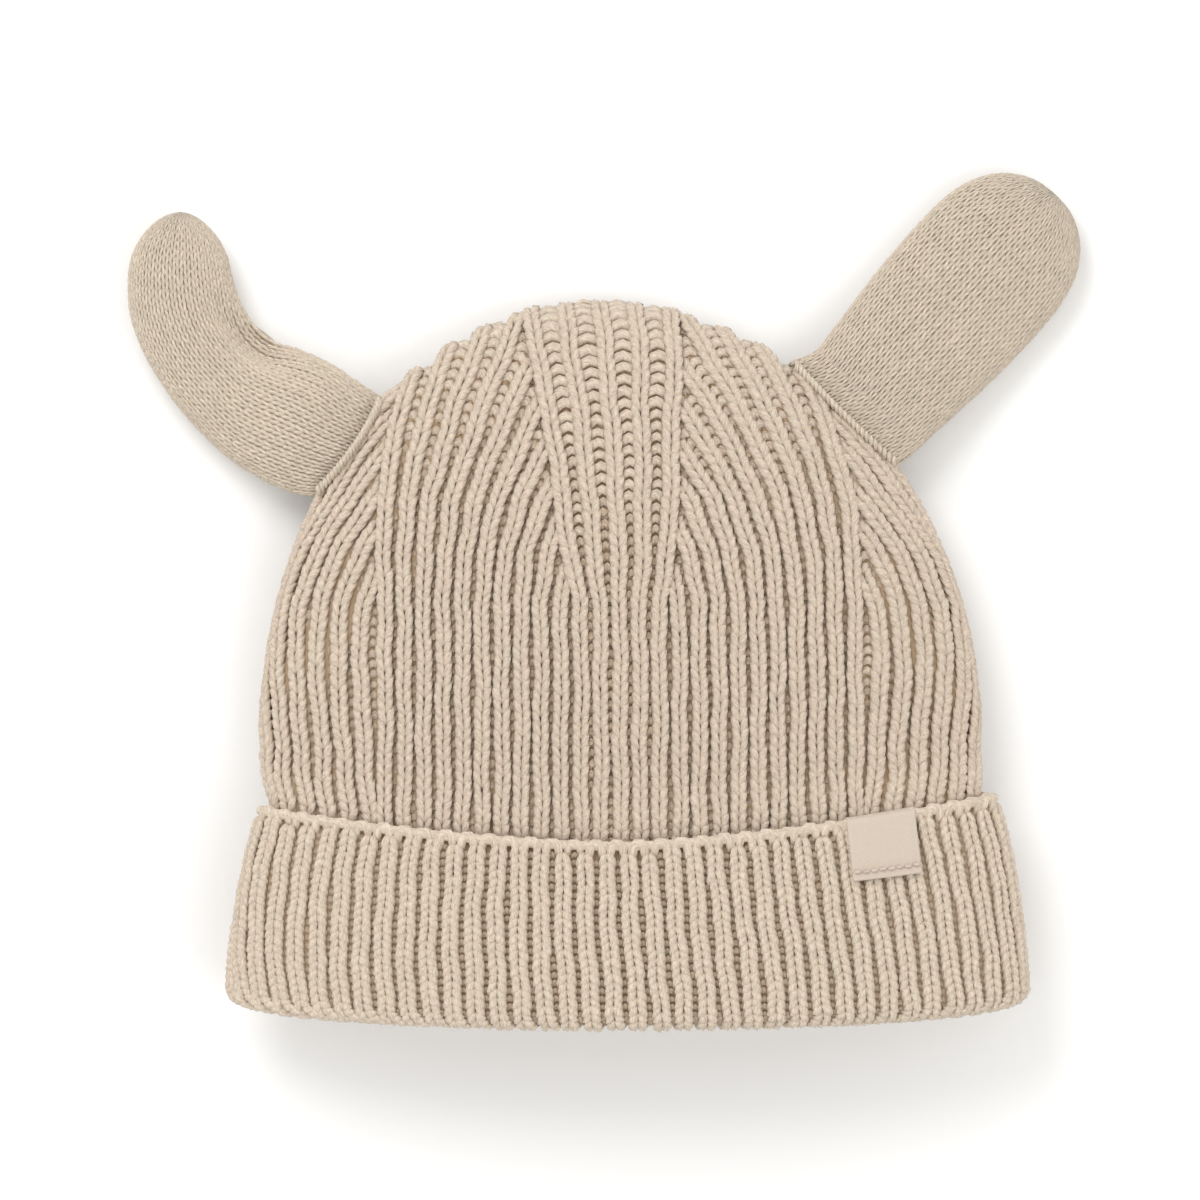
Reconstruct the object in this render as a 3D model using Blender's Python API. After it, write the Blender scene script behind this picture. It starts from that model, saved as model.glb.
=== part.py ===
"""A knitted baby beanie with two ears, lying on its back on a flat surface.

Metres. +X runs across the hat, +Y from the mouth to the top of the crown, and +Z away from the surface
that the hat lies on. The origin is on that surface, under the pressed-flat middle of the hat's back.

The crown is a dome-ended tube of rib knit, flattened front to back. Its wales are laid out as they are
knitted: five wales run up the middle of each face and over the top, a panel of wales beside them ends on
them one by one, and past a dart wale a side panel ends on the dart. The turned-up cuff is a band round
the crown's foot, which stands on the band's folded lip. The ears butt against the crown's side edges,
and a ribbon label is folded over the cuff's rim.
"""

import math
from collections import namedtuple

import bmesh
import bpy
import numpy as np

# Crown
CROWN_WIDTH = 0.1884  # across the hat where it is straight
CROWN_DEPTH = 0.034  # front to back, before the surface presses the back flat
DOME_START = 0.074  # from the cuff's fold up to where the sides begin to close
DOME_HEIGHT = 0.1153  # from there to the top
DOME_LEAN = 0.0054  # how far the top leans to the left
CROWN_WALL = 0.0036
TOP_REST = 0.005  # height of the top edge's middle above the surface
REST_FROM_FOLD = 0.088  # from the cuff's fold to the origin
PRESSED = 0.0015  # how deep the back is pressed flat

# Knit
RIB_DEPTH = 0.0011
WEDGE_WALES = 5  # wales that run over the top
PANEL_WALES = 9  # wales between the wedge and each dart wale
SIDE_WALES = 6  # wales between each dart wale and the side edge
WALES_PER_HALF = WEDGE_WALES / 2 + PANEL_WALES + 1 + SIDE_WALES  # from the middle of a face to its edge

# Cuff
CUFF_HEIGHT = 0.048
CUFF_LAYER = 0.0030
RIM_WIDTH = 0.1928
RIM_DEPTH = 0.043
FOLD_WIDTH = 0.2088
FOLD_DEPTH = 0.046
CUFF_BULGE = 0.0018  # how far each side of the cuff swells out at half its height
RIM_SAG = 0.0102  # how much lower the rim is at the middle than at the sides
RIM_TILT = 0.0017  # how much higher the rim's right end is than its middle line, and its left end lower
FOLD_SAG = 0.006
CUFF_SHIFT = 0.0018  # how far the cuff sits to the right of the crown
LIP_HEIGHT = 0.009  # the folded lip that the crown's wall stands on
RIM_ROLL = 0.0007  # how far the rim's rolled edge stands above the layer
SIDE_EASE = 0.0005  # room between cuff and crown at the side edges
FACE_EASE = 0.0022  # room between cuff and crown at the middle, which the label's tail needs
RELEASE = 0.011  # the length above the rim over which the crown springs out again

# Ears
RIGHT_EAR_LENGTH = 0.0785
RIGHT_EAR_WIDTH = 0.0425
RIGHT_EAR_DEPTH = 0.015
RIGHT_EAR_SEAM_SHARES = (0.618, 0.862)  # the seam's two ends, as shares of the dome's height
LEFT_EAR_LENGTH = 0.084
LEFT_EAR_WIDTH = 0.035
LEFT_EAR_DEPTH = 0.018
LEFT_EAR_SEAM_SHARES = (0.553, 0.779)
EAR_SEAM_DEPTH = 0.008  # thickness of an ear where it is sewn on

# Label
LABEL_WIDTH = 0.0182
LABEL_LENGTH = 0.0137  # of the leaf that shows
LABEL_TAIL = 0.007  # of the leaf behind the cuff
LABEL_THICK = 0.0009
LABEL_PLACE = 0.0655  # from the cuff's middle to the label's, along the rim
LABEL_SLANT = 0.125  # how far the label drifts right on its way down, as a share of that way
LABEL_STEPS = 6

SEAM_GAP = 0.0003  # between pieces that butt
SKIN_GAP = 0.0004  # between pieces that lie on each other

DOME_ROWS = 13
INNER_ROWS = 9
EAR_SIDES = 22
ARC_STEPS = 96
LEAN_POWER = 2.6
DEPTH_POWER = 0.84  # under 1 keeps the top edge fuller than an ellipsoid's
BOW_SOFTNESS = 0.1  # rounds the rows where front and back meet
RIM_BOW_POWER = 1.55  # the rim's line: 1 would be a plain V, 2 a parabola

# The wales on one half of a face. Rise is a share of the dome's height. The widths of the wedge's, the
# panel's and the side's wales are shares of the width at the foot, and so is how far the side's outermost
# wale passes round the edge; the dart's distance from the middle is a share of half the crown's width.
DART_LAYOUT = (
    # rise, wedge width, panel width, dart distance, side width, overhang
    (0.00, 0.955, 0.958, 0.650, 1.087, 0.00),
    (0.31, 0.955, 0.960, 0.650, 1.128, 1.22),
    (0.43, 1.205, 1.010, 0.650, 1.128, 1.05),
    (0.55, 1.320, 1.122, 0.642, 1.128, 0.50),
    (0.66, 1.420, 1.260, 0.616, 1.128, 0.30),
    (0.77, 1.530, 1.390, 0.584, 1.128, 0.15),
    (0.85, 1.665, 1.500, 0.550, 1.128, 0.00),
    (1.00, 1.780, 1.620, 0.500, 1.128, 0.00),
)

# Sections along the right ear, which is nearly straight. Along is a share of its length, the rest are
# shares of its width, its depth and of the drop from the seam's height to where it lies.
RIGHT_EAR_SECTIONS = (
    # along, sideways, width, depth, drop
    (0.05, 0.000, 0.880, 0.66, 0.06),
    (0.12, 0.001, 0.895, 0.82, 0.18),
    (0.22, 0.004, 0.930, 0.95, 0.45),
    (0.34, 0.009, 0.970, 1.00, 0.75),
    (0.48, 0.015, 1.000, 1.00, 0.96),
    (0.62, 0.021, 1.005, 0.98, 1.00),
    (0.745, 0.027, 0.975, 0.94, 1.00),
    (0.84, 0.031, 0.880, 0.86, 1.00),
    (0.915, 0.034, 0.705, 0.72, 1.00),
    (0.968, 0.036, 0.465, 0.52, 1.00),
    (0.992, 0.037, 0.240, 0.30, 1.00),
)

# Sections along the left ear, which bends up. Out and up are shares of its length, from the middle of its
# seam; dent is how far the top of its inner side is pushed in, as a share of its depth.
LEFT_EAR_SECTIONS = (
    # out, up, width, depth, drop, dent
    (0.050, 0.024, 0.960, 0.62, 0.06, 0.00),
    (0.110, 0.054, 1.010, 0.84, 0.20, 0.00),
    (0.185, 0.093, 1.010, 0.98, 0.45, 0.05),
    (0.260, 0.134, 0.965, 1.00, 0.70, 0.16),
    (0.327, 0.179, 0.890, 0.98, 0.88, 0.30),
    (0.387, 0.235, 0.845, 0.96, 0.98, 0.34),
    (0.436, 0.302, 0.830, 0.96, 1.00, 0.24),
    (0.475, 0.370, 0.828, 0.95, 1.00, 0.12),
    (0.501, 0.442, 0.825, 0.92, 1.00, 0.04),
    (0.511, 0.515, 0.795, 0.88, 1.00, 0.00),
    (0.512, 0.580, 0.745, 0.84, 1.00, 0.00),
    (0.510, 0.635, 0.635, 0.76, 1.00, 0.00),
    (0.508, 0.680, 0.475, 0.62, 1.00, 0.00),
    (0.506, 0.712, 0.295, 0.44, 1.00, 0.00),
    (0.505, 0.729, 0.130, 0.24, 1.00, 0.00),
)

LEFT_EAR_TIP_SHARES = (0.505, 0.735)  # out, up

KNIT_COLOUR = (0.60, 0.49, 0.37, 1.0)
EAR_COLOUR = (0.63, 0.53, 0.41, 1.0)
LABEL_COLOUR = (0.74, 0.65, 0.54, 1.0)

Level = namedtuple("Level", "half_width half_depth side sag shift height floor rise taper bend tilt")


def ease(share):
    """A smooth step from 0 to 1."""
    share = min(max(share, 0.0), 1.0)
    return share * share * (3 - 2 * share)


def mix(low, high, share):
    return low + (high - low) * share


def cuff_level(up, inset=0.0):
    """The cuff's section at this height above its fold, inset from its outer face."""
    share = up / CUFF_HEIGHT
    sag = mix(FOLD_SAG, RIM_SAG, share)
    half_depth = mix(FOLD_DEPTH, RIM_DEPTH, share) / 2
    half_width = mix(FOLD_WIDTH, RIM_WIDTH, share) / 2 + 4 * CUFF_BULGE * share * (1 - share)
    return Level(
        half_width - inset,
        half_depth - inset,
        up + sag,
        sag,
        CUFF_SHIFT,
        half_depth - PRESSED,
        inset,
        0.0,
        1.0,
        share,
        RIM_TILT * share,
    )


def crown_level(up, inset=0.0):
    """The crown's section at this height above the fold, inset from its outer face."""
    tucked = cuff_level(min(up, CUFF_HEIGHT))
    free = ease((up - CUFF_HEIGHT - RIM_ROLL) / RELEASE)
    side = up + RIM_SAG if up > CUFF_HEIGHT else tucked.side
    top = DOME_HEIGHT - inset
    rise = min(max((side - DOME_START) / top, 0.0), 1.0)
    taper = math.sqrt(1 - rise * rise)
    fullness = taper**DEPTH_POWER
    risen = 1 - ease((up - CUFF_HEIGHT) / (3 * RELEASE))
    half_depth = CROWN_DEPTH / 2
    resting = TOP_REST + (half_depth - PRESSED - TOP_REST) * fullness
    return Level(
        mix(tucked.half_width - CUFF_LAYER - SIDE_EASE, CROWN_WIDTH / 2, free) * taper - inset * taper,
        mix(tucked.half_depth - CUFF_LAYER - FACE_EASE, half_depth, free) * fullness - inset * fullness,
        side,
        RIM_SAG * risen if up > CUFF_HEIGHT else tucked.sag,
        mix(CUFF_SHIFT, -DOME_LEAN * rise**LEAN_POWER, free),
        mix(tucked.height, resting, free),
        mix(CUFF_LAYER + SIDE_EASE, 0.0, free) + inset,
        rise,
        taper,
        tucked.bend,
        tucked.tilt * risen,
    )


def quarter_run(level):
    """Angles from the middle of a face to its side edge, and the distance along the section to each."""
    turn = np.linspace(0, math.pi / 2, ARC_STEPS)
    across = level.half_width * np.sin(turn)
    deep = level.half_depth * np.cos(turn)
    return turn, np.concatenate([[0.0], np.cumsum(np.hypot(np.diff(across), np.diff(deep)))])


def section_points(level, arcs, front, relief):
    """Points at these distances from the middle of a face, relief being how far each is sunk."""
    turn, run = quarter_run(level)
    angle = np.copysign(np.interp(np.abs(arcs), run, turn), arcs)
    sine, cosine = np.sin(angle), np.cos(angle)
    side = 1.0 if front else -1.0
    bow = np.sqrt(cosine**2 + BOW_SOFTNESS**2) - BOW_SOFTNESS
    bow = bow / (math.sqrt(1 + BOW_SOFTNESS**2) - BOW_SOFTNESS)
    bow = mix(bow, 1 - np.abs(sine) ** RIM_BOW_POWER, level.bend)
    points = np.stack(
        [
            level.shift + level.half_width * sine,
            level.side - level.sag * bow + level.tilt * sine - REST_FROM_FOLD,
            level.height + side * level.half_depth * cosine,
        ],
        axis=1,
    )
    outward = np.stack(
        [
            level.taper * sine / CROWN_WIDTH * 2,
            np.full_like(sine, level.rise / DOME_HEIGHT),
            side * level.taper * cosine / CROWN_DEPTH * 2,
        ],
        axis=1,
    )
    outward /= np.linalg.norm(outward, axis=1)[:, None]
    points -= outward * relief[:, None]
    points[:, 2] = np.maximum(points[:, 2], level.floor)
    return points


def cuff_grooves(level):
    """Distances of the cuff's grooves from the middle of a face out to its side edge, and their spacing."""
    spacing = quarter_run(level)[1][-1] / WALES_PER_HALF
    return (np.arange(math.ceil(WALES_PER_HALF)) + 0.5) * spacing, spacing


def crown_grooves(level):
    """Distances of the crown's grooves from the middle of a face, and the width of a whole wale."""
    table = np.array(DART_LAYOUT)
    shares = [np.interp(level.rise, table[:, 0], table[:, column]) for column in range(1, table.shape[1])]
    foot_width = quarter_run(crown_level(DOME_START - RIM_SAG))[1][-1] / WALES_PER_HALF
    wedge, wale, side_wale, overhang = (shares[index] * foot_width for index in (0, 1, 3, 4))
    dart = shares[2] * CROWN_WIDTH / 2
    reach = quarter_run(level)[1][-1]
    wedge_grooves = (np.arange(WEDGE_WALES // 2 + 1) + 0.5) * wedge
    dart_inner = min(dart - wale / 2, reach)
    dart_outer = min(dart + wale / 2, reach)
    panel = dart_inner - np.arange(PANEL_WALES - 1, -1, -1) * wale
    side = reach + overhang - np.arange(SIDE_WALES - 1, -1, -1) * side_wale
    grooves = np.concatenate(
        [wedge_grooves, np.maximum(panel, wedge_grooves[-1]), [dart_outer], np.maximum(side, dart_outer)]
    )
    return np.minimum(grooves, reach), wale


def wale_columns(half, wale):
    """Signed distances of grooves and crests across a face, and how far each is sunk for ribs one deep."""
    grooves = np.concatenate([-half[::-1], half])
    crests = (grooves[1:] + grooves[:-1]) / 2
    arcs = np.empty(len(grooves) + len(crests))
    arcs[0::2], arcs[1::2] = grooves, crests
    sunk = np.ones_like(arcs)
    sunk[1::2] = 1 - np.minimum(1, np.diff(grooves) / wale)
    return arcs, sunk


def closed_ring(level, arcs, relief):
    """Both faces of a section as one ring: the front from left to right, then the back from right to left."""
    front = section_points(level, arcs, True, relief)
    back = section_points(level, arcs, False, relief)
    return np.concatenate([front, back[-2:0:-1]])


def ribbed_ring(level, grooves, depth):
    """A ring with ribs this deep between the grooves of half a face."""
    arcs, sunk = wale_columns(*grooves)
    return closed_ring(level, arcs, sunk * depth)


def crown_ring(up, depth):
    level = crown_level(up)
    return ribbed_ring(level, crown_grooves(level), depth)


def cuff_ring(up, inset, depth):
    level = cuff_level(up, inset)
    return ribbed_ring(level, cuff_grooves(level), depth)


def even_ring(level, count):
    """A plain ring with this many steps across each face."""
    reach = quarter_run(level)[1][-1]
    arcs = np.linspace(-reach, reach, count + 1)
    return closed_ring(level, arcs, np.zeros(count + 1))


def add_ring(bm, points):
    return [bm.verts.new(point) for point in points]


def bridge(bm, lower, upper):
    """Quads between two rings of the same count."""
    for here in range(len(lower)):
        after = (here + 1) % len(lower)
        bm.faces.new((lower[here], lower[after], upper[after], upper[here]))


def fan(bm, ring, tip, outward_up=True):
    for here in range(len(ring)):
        after = (here + 1) % len(ring)
        corners = (ring[here], ring[after], tip)
        bm.faces.new(corners if outward_up else corners[::-1])


def finish(name, bm, colour, roughness):
    """Makes the mesh one closed body that faces out, with its own material."""
    bmesh.ops.remove_doubles(bm, verts=bm.verts, dist=2e-6)
    bmesh.ops.dissolve_degenerate(bm, edges=bm.edges, dist=2e-6)
    bmesh.ops.triangulate(bm, faces=bm.faces)
    bmesh.ops.recalc_face_normals(bm, faces=bm.faces)
    mesh = bpy.data.meshes.new(name)
    bm.to_mesh(mesh)
    bm.free()
    mesh.shade_smooth()
    material = bpy.data.materials.new(name)
    material.use_nodes = True
    shader = material.node_tree.nodes["Principled BSDF"]
    shader.inputs["Base Color"].default_value = colour
    shader.inputs["Roughness"].default_value = roughness
    shader.inputs["Metallic"].default_value = 0.0
    mesh.materials.append(material)
    piece = bpy.data.objects.new(name, mesh)
    bpy.context.scene.collection.objects.link(piece)
    return piece


def dome_heights(rows, inset=0.0):
    """Heights above the fold of rows spaced evenly round the dome, the top left out."""
    turns = np.arange(rows) / rows * math.pi / 2
    return [DOME_START - RIM_SAG + (DOME_HEIGHT - inset) * math.sin(turn) for turn in turns]


def make_crown():
    """The crown's wall: ribbed outside, plain inside, open at the foot inside the cuff."""
    foot = LIP_HEIGHT + SEAM_GAP
    hidden = [foot, mix(foot, CUFF_HEIGHT, 0.55), CUFF_HEIGHT - 2 * SKIN_GAP]
    springing = [CUFF_HEIGHT + RIM_ROLL + share * RELEASE for share in (0.12, 0.45, 0.8)]
    bm = bmesh.new()
    outer = [add_ring(bm, crown_ring(up, 0.0)) for up in hidden]
    outer += [add_ring(bm, crown_ring(up, RIB_DEPTH)) for up in springing + dome_heights(DOME_ROWS)]
    for lower, upper in zip(outer, outer[1:]):
        bridge(bm, lower, upper)
    top = DOME_START + DOME_HEIGHT - REST_FROM_FOLD
    fan(bm, outer[-1], bm.verts.new((-DOME_LEAN, top, TOP_REST)))

    wales = round(2 * WALES_PER_HALF)
    inner_heights = hidden + [springing[0], springing[2]] + dome_heights(INNER_ROWS, CROWN_WALL)
    inner = [add_ring(bm, even_ring(crown_level(up, CROWN_WALL), wales)) for up in inner_heights]
    for lower, upper in zip(inner, inner[1:]):
        bridge(bm, upper, lower)
    fan(bm, inner[-1], bm.verts.new((-DOME_LEAN, top - CROWN_WALL, TOP_REST)), outward_up=False)

    foot_outer, foot_inner = outer[0], inner[0]
    for wale in range(len(foot_inner)):
        after = (wale + 1) % len(foot_inner)
        edge = [foot_outer[(2 * wale + step) % len(foot_outer)] for step in (0, 1, 2)]
        bm.faces.new([foot_inner[wale], foot_inner[after]] + edge[::-1])
    return finish("crown", bm, KNIT_COLOUR, 0.92)


def make_cuff():
    """The turned-up band: an outer layer with a rolled rim, and a solid fold whose lip carries the crown."""
    fold_thick = CUFF_LAYER + SIDE_EASE + CROWN_WALL
    radius = fold_thick / 2
    near = radius * (1 - math.sqrt(0.5))
    ribs = RIB_DEPTH
    profile = (
        # height above the fold, inset from the outer face, depth of the ribs
        (CUFF_HEIGHT - RIM_ROLL, 0.0, ribs * 0.5),
        (CUFF_HEIGHT * 0.9, 0.0, ribs),
        (CUFF_HEIGHT * 0.5, 0.0, ribs),
        (radius, 0.0, ribs),
        (near, near, ribs * 0.7),
        (0.0, radius, 0.0),
        (near, fold_thick - near, 0.0),
        (radius, fold_thick, 0.0),
        (LIP_HEIGHT, fold_thick, 0.0),
        (LIP_HEIGHT, CUFF_LAYER, 0.0),
        (CUFF_HEIGHT * 0.6, CUFF_LAYER, 0.0),
        (CUFF_HEIGHT, CUFF_LAYER, 0.0),
        (CUFF_HEIGHT + RIM_ROLL, CUFF_LAYER * 0.6, 0.0),
        (CUFF_HEIGHT + RIM_ROLL, CUFF_LAYER * 0.25, 0.0),
    )
    bm = bmesh.new()
    rings = [add_ring(bm, cuff_ring(up, inset, depth)) for up, inset, depth in profile]
    for lower, upper in zip(rings, rings[1:] + rings[:1]):
        bridge(bm, upper, lower)
    return finish("cuff", bm, KNIT_COLOUR, 0.92)


def edge_point(rise, half_thick, hand, gap):
    """A point on the crown's side edge, this far above or below its middle, and gap clear of it."""
    level = crown_level(DOME_START - RIM_SAG + rise * DOME_HEIGHT)
    sine = min(max(half_thick / level.half_depth, -1.0), 1.0)
    cosine = math.sqrt(1 - sine * sine)
    across = hand * level.taper * cosine / CROWN_WIDTH * 2
    deep = level.taper * sine / CROWN_DEPTH * 2
    outward = np.array([across, level.rise / DOME_HEIGHT, deep])
    outward /= np.linalg.norm(outward)
    place = np.array([level.shift + hand * level.half_width * cosine, level.side - REST_FROM_FOLD, 0.0])
    place[2] = level.height + level.half_depth * sine
    return place + outward * gap


def seam_rings(seam, hand):
    """The ear's sewn end: rings that follow the crown's side edge, from its middle line to the ear's skin."""
    middle, reach = (seam[0] + seam[1]) / 2, (seam[1] - seam[0]) / 2
    turns = np.arange(EAR_SIDES) / EAR_SIDES * 2 * math.pi
    rings = []
    for share in (0.0, 0.3, 0.6, 0.8, 1.0):
        ring = []
        for turn in turns:
            rise = middle + reach * math.cos(turn)
            thick = share * EAR_SEAM_DEPTH / 2 * math.sin(turn)
            ring.append(edge_point(rise, thick, hand, SKIN_GAP))
        rings.append(np.array(ring))
    return rings


def ear_rings(start, sections, hand):
    """Oval rings square to the ear's path. Each section is its middle, half width, half depth and dent."""
    middles = np.array([section[0] for section in sections])
    path = np.concatenate([[start], middles])
    turns = np.arange(EAR_SIDES) / EAR_SIDES * 2 * math.pi
    rings = []
    for index, (middle, half_width, half_depth, dent) in enumerate(sections):
        ahead = path[min(index + 2, len(path) - 1)] - path[index]
        along = ahead[:2] / np.linalg.norm(ahead[:2])
        across = np.array([-along[1], along[0]]) * hand
        ring = []
        for turn in turns:
            out, lift = math.cos(turn), math.sin(turn)
            # The dent lies on the upper side, towards the inside of the bend.
            hollow = dent * max(lift, 0.0) * max(out + 0.35, 0.0)
            height = middle[2] + half_depth * (lift - hollow)
            ring.append([*(middle[:2] + across * out * half_width), max(height, 0.0)])
        rings.append(np.array(ring))
    return rings


def make_ear(name, seam, hand, sections, tip):
    """A knitted ear: its sewn end, its length in oval sections and its closed tip."""
    bm = bmesh.new()
    rings = seam_rings(seam, hand) + ear_rings(seam_middle(seam, hand), sections, hand)
    loops = [add_ring(bm, ring) for ring in rings]
    for lower, upper in zip(loops, loops[1:]):
        bridge(bm, lower, upper)
    fan(bm, loops[-1], bm.verts.new(tip))
    return finish(name, bm, EAR_COLOUR, 0.92)


def seam_middle(seam, hand):
    return edge_point((seam[0] + seam[1]) / 2, 0.0, hand, SKIN_GAP)


def make_right_ear():
    start = seam_middle(RIGHT_EAR_SEAM_SHARES, 1)
    ends = [edge_point(rise, 0.0, 1, 0.0) for rise in RIGHT_EAR_SEAM_SHARES]
    chord = ends[1] - ends[0]
    along = np.array([chord[1], -chord[0]]) / np.linalg.norm(chord[:2])
    across = np.array([-along[1], along[0]])
    lying = RIGHT_EAR_DEPTH / 2 - PRESSED / 2

    def place(share, sideways, drop):
        flat = start[:2] + along * share * RIGHT_EAR_LENGTH + across * sideways * RIGHT_EAR_LENGTH
        return np.array([flat[0], flat[1], mix(start[2], lying, drop)])

    sections = [
        (place(share, sideways, drop), width * RIGHT_EAR_WIDTH / 2, depth * RIGHT_EAR_DEPTH / 2, 0.0)
        for share, sideways, width, depth, drop in RIGHT_EAR_SECTIONS
    ]
    sideways = RIGHT_EAR_SECTIONS[-1][1]
    return make_ear("ear_right", RIGHT_EAR_SEAM_SHARES, 1, sections, place(1.0, sideways, 1.0))


def make_left_ear():
    start = seam_middle(LEFT_EAR_SEAM_SHARES, -1)
    lying = LEFT_EAR_DEPTH / 2 - PRESSED / 2

    def place(out, up, drop):
        flat = start[:2] + np.array([-out, up]) * LEFT_EAR_LENGTH
        return np.array([flat[0], flat[1], mix(start[2], lying, drop)])

    sections = [
        (place(out, up, drop), width * LEFT_EAR_WIDTH / 2, depth * LEFT_EAR_DEPTH / 2, dent)
        for out, up, width, depth, drop, dent in LEFT_EAR_SECTIONS
    ]
    return make_ear("ear_left", LEFT_EAR_SEAM_SHARES, -1, sections, place(*LEFT_EAR_TIP_SHARES, 1.0))


def make_label():
    """The ribbon label: one leaf on the cuff's face, folded over its rim, with a short tail behind."""
    out, back = -SKIN_GAP, CUFF_LAYER + SKIN_GAP
    rim = CUFF_HEIGHT + RIM_ROLL + SKIN_GAP
    leaf_foot, tail_foot = CUFF_HEIGHT - LABEL_LENGTH, CUFF_HEIGHT - LABEL_TAIL
    profile = (
        # height above the fold, inset from the cuff's outer face
        (leaf_foot, out - LABEL_THICK),
        (mix(leaf_foot, rim, 0.5), out - LABEL_THICK),
        (rim, out - LABEL_THICK),
        (rim + LABEL_THICK, CUFF_LAYER * 0.15),
        (rim + LABEL_THICK, CUFF_LAYER * 0.75),
        (rim, back + LABEL_THICK),
        (tail_foot, back + LABEL_THICK),
        (tail_foot, back),
        (rim, back),
        (rim, out),
        (mix(leaf_foot, rim, 0.5), out),
        (leaf_foot, out),
    )
    arcs = LABEL_PLACE + np.linspace(-0.5, 0.5, LABEL_STEPS + 1) * LABEL_WIDTH
    flush = np.zeros_like(arcs)
    level_points = [
        section_points(cuff_level(up, inset), arcs + LABEL_SLANT * (CUFF_HEIGHT - up), True, flush)
        for up, inset in profile
    ]
    bm = bmesh.new()
    rings = [add_ring(bm, [points[step] for points in level_points]) for step in range(LABEL_STEPS + 1)]
    for left, right in zip(rings, rings[1:]):
        bridge(bm, left, right)
    bm.faces.new(rings[0][::-1])
    bm.faces.new(rings[-1])
    return finish("label", bm, LABEL_COLOUR, 0.75)


def main():
    for leftover in list(bpy.data.objects):
        bpy.data.objects.remove(leftover)
    hat = bpy.data.objects.new("hat", None)
    bpy.context.scene.collection.objects.link(hat)
    for piece in (make_crown(), make_cuff(), make_right_ear(), make_left_ear(), make_label()):
        piece.parent = hat


main()
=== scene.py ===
"""The looks of a knitted baby beanie with two ears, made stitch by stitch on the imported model's surfaces.

Metres, in the model's own frame: +X across the hat, +Y from the mouth to the crown's top, +Z up from the
surface that the hat lies on. Every knit stitch is two legs of yarn. Wales are laid along the same sections
as the solids have, and each stitch is set on its wale by the distance along it.
"""

import math
from collections import namedtuple

import bmesh
import bpy
import numpy as np
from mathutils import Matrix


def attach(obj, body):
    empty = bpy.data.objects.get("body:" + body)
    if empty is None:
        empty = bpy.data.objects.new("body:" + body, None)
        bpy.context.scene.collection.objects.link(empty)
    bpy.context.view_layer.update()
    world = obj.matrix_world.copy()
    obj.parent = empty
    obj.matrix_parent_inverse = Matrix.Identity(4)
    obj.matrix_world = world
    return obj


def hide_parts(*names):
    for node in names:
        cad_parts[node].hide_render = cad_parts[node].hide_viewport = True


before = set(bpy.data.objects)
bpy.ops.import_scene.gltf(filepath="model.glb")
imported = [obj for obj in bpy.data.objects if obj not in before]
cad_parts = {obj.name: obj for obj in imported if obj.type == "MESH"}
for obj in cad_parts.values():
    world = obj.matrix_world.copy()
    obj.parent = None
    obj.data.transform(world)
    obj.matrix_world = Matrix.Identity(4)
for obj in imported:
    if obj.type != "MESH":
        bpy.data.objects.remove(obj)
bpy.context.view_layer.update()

# Sizes of the model, as its source has them
CROWN_WIDTH = 0.1884
CROWN_DEPTH = 0.034
DOME_START = 0.074
DOME_HEIGHT = 0.1153
DOME_LEAN = 0.0054
CROWN_WALL = 0.0036
TOP_REST = 0.005
REST_FROM_FOLD = 0.088
PRESSED = 0.0015
WEDGE_WALES = 5
PANEL_WALES = 9
SIDE_WALES = 6
CUFF_HEIGHT = 0.048
CUFF_LAYER = 0.0030
RIM_WIDTH = 0.1928
RIM_DEPTH = 0.043
FOLD_WIDTH = 0.2088
FOLD_DEPTH = 0.046
CUFF_BULGE = 0.0018
RIM_SAG = 0.0102
RIM_TILT = 0.0017
FOLD_SAG = 0.006
CUFF_SHIFT = 0.0018
LIP_HEIGHT = 0.009
RIM_ROLL = 0.0007
SIDE_EASE = 0.0005
FACE_EASE = 0.0022
RELEASE = 0.011
RIGHT_EAR_LENGTH = 0.0785
RIGHT_EAR_WIDTH = 0.0425
RIGHT_EAR_DEPTH = 0.015
RIGHT_EAR_SEAM_SHARES = (0.618, 0.862)
LEFT_EAR_LENGTH = 0.084
LEFT_EAR_WIDTH = 0.035
LEFT_EAR_DEPTH = 0.018
LEFT_EAR_SEAM_SHARES = (0.553, 0.779)
EAR_SEAM_DEPTH = 0.008
LABEL_WIDTH = 0.0182
LABEL_LENGTH = 0.0137
LABEL_TAIL = 0.007
LABEL_THICK = 0.0009
LABEL_PLACE = 0.0655
LABEL_SLANT = 0.125
SKIN_GAP = 0.0004
LEAN_POWER = 2.6
DEPTH_POWER = 0.84
BOW_SOFTNESS = 0.1
RIM_BOW_POWER = 1.55
ARC_STEPS = 96

DART_LAYOUT = (
    # rise, wedge width, panel width, dart distance, side width, overhang
    (0.00, 0.955, 0.958, 0.650, 1.087, 0.00),
    (0.31, 0.955, 0.960, 0.650, 1.128, 1.22),
    (0.43, 1.205, 1.010, 0.650, 1.128, 1.05),
    (0.55, 1.320, 1.122, 0.642, 1.128, 0.50),
    (0.66, 1.420, 1.260, 0.616, 1.128, 0.30),
    (0.77, 1.530, 1.390, 0.584, 1.128, 0.15),
    (0.85, 1.665, 1.500, 0.550, 1.128, 0.00),
    (1.00, 1.780, 1.620, 0.500, 1.128, 0.00),
)

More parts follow.
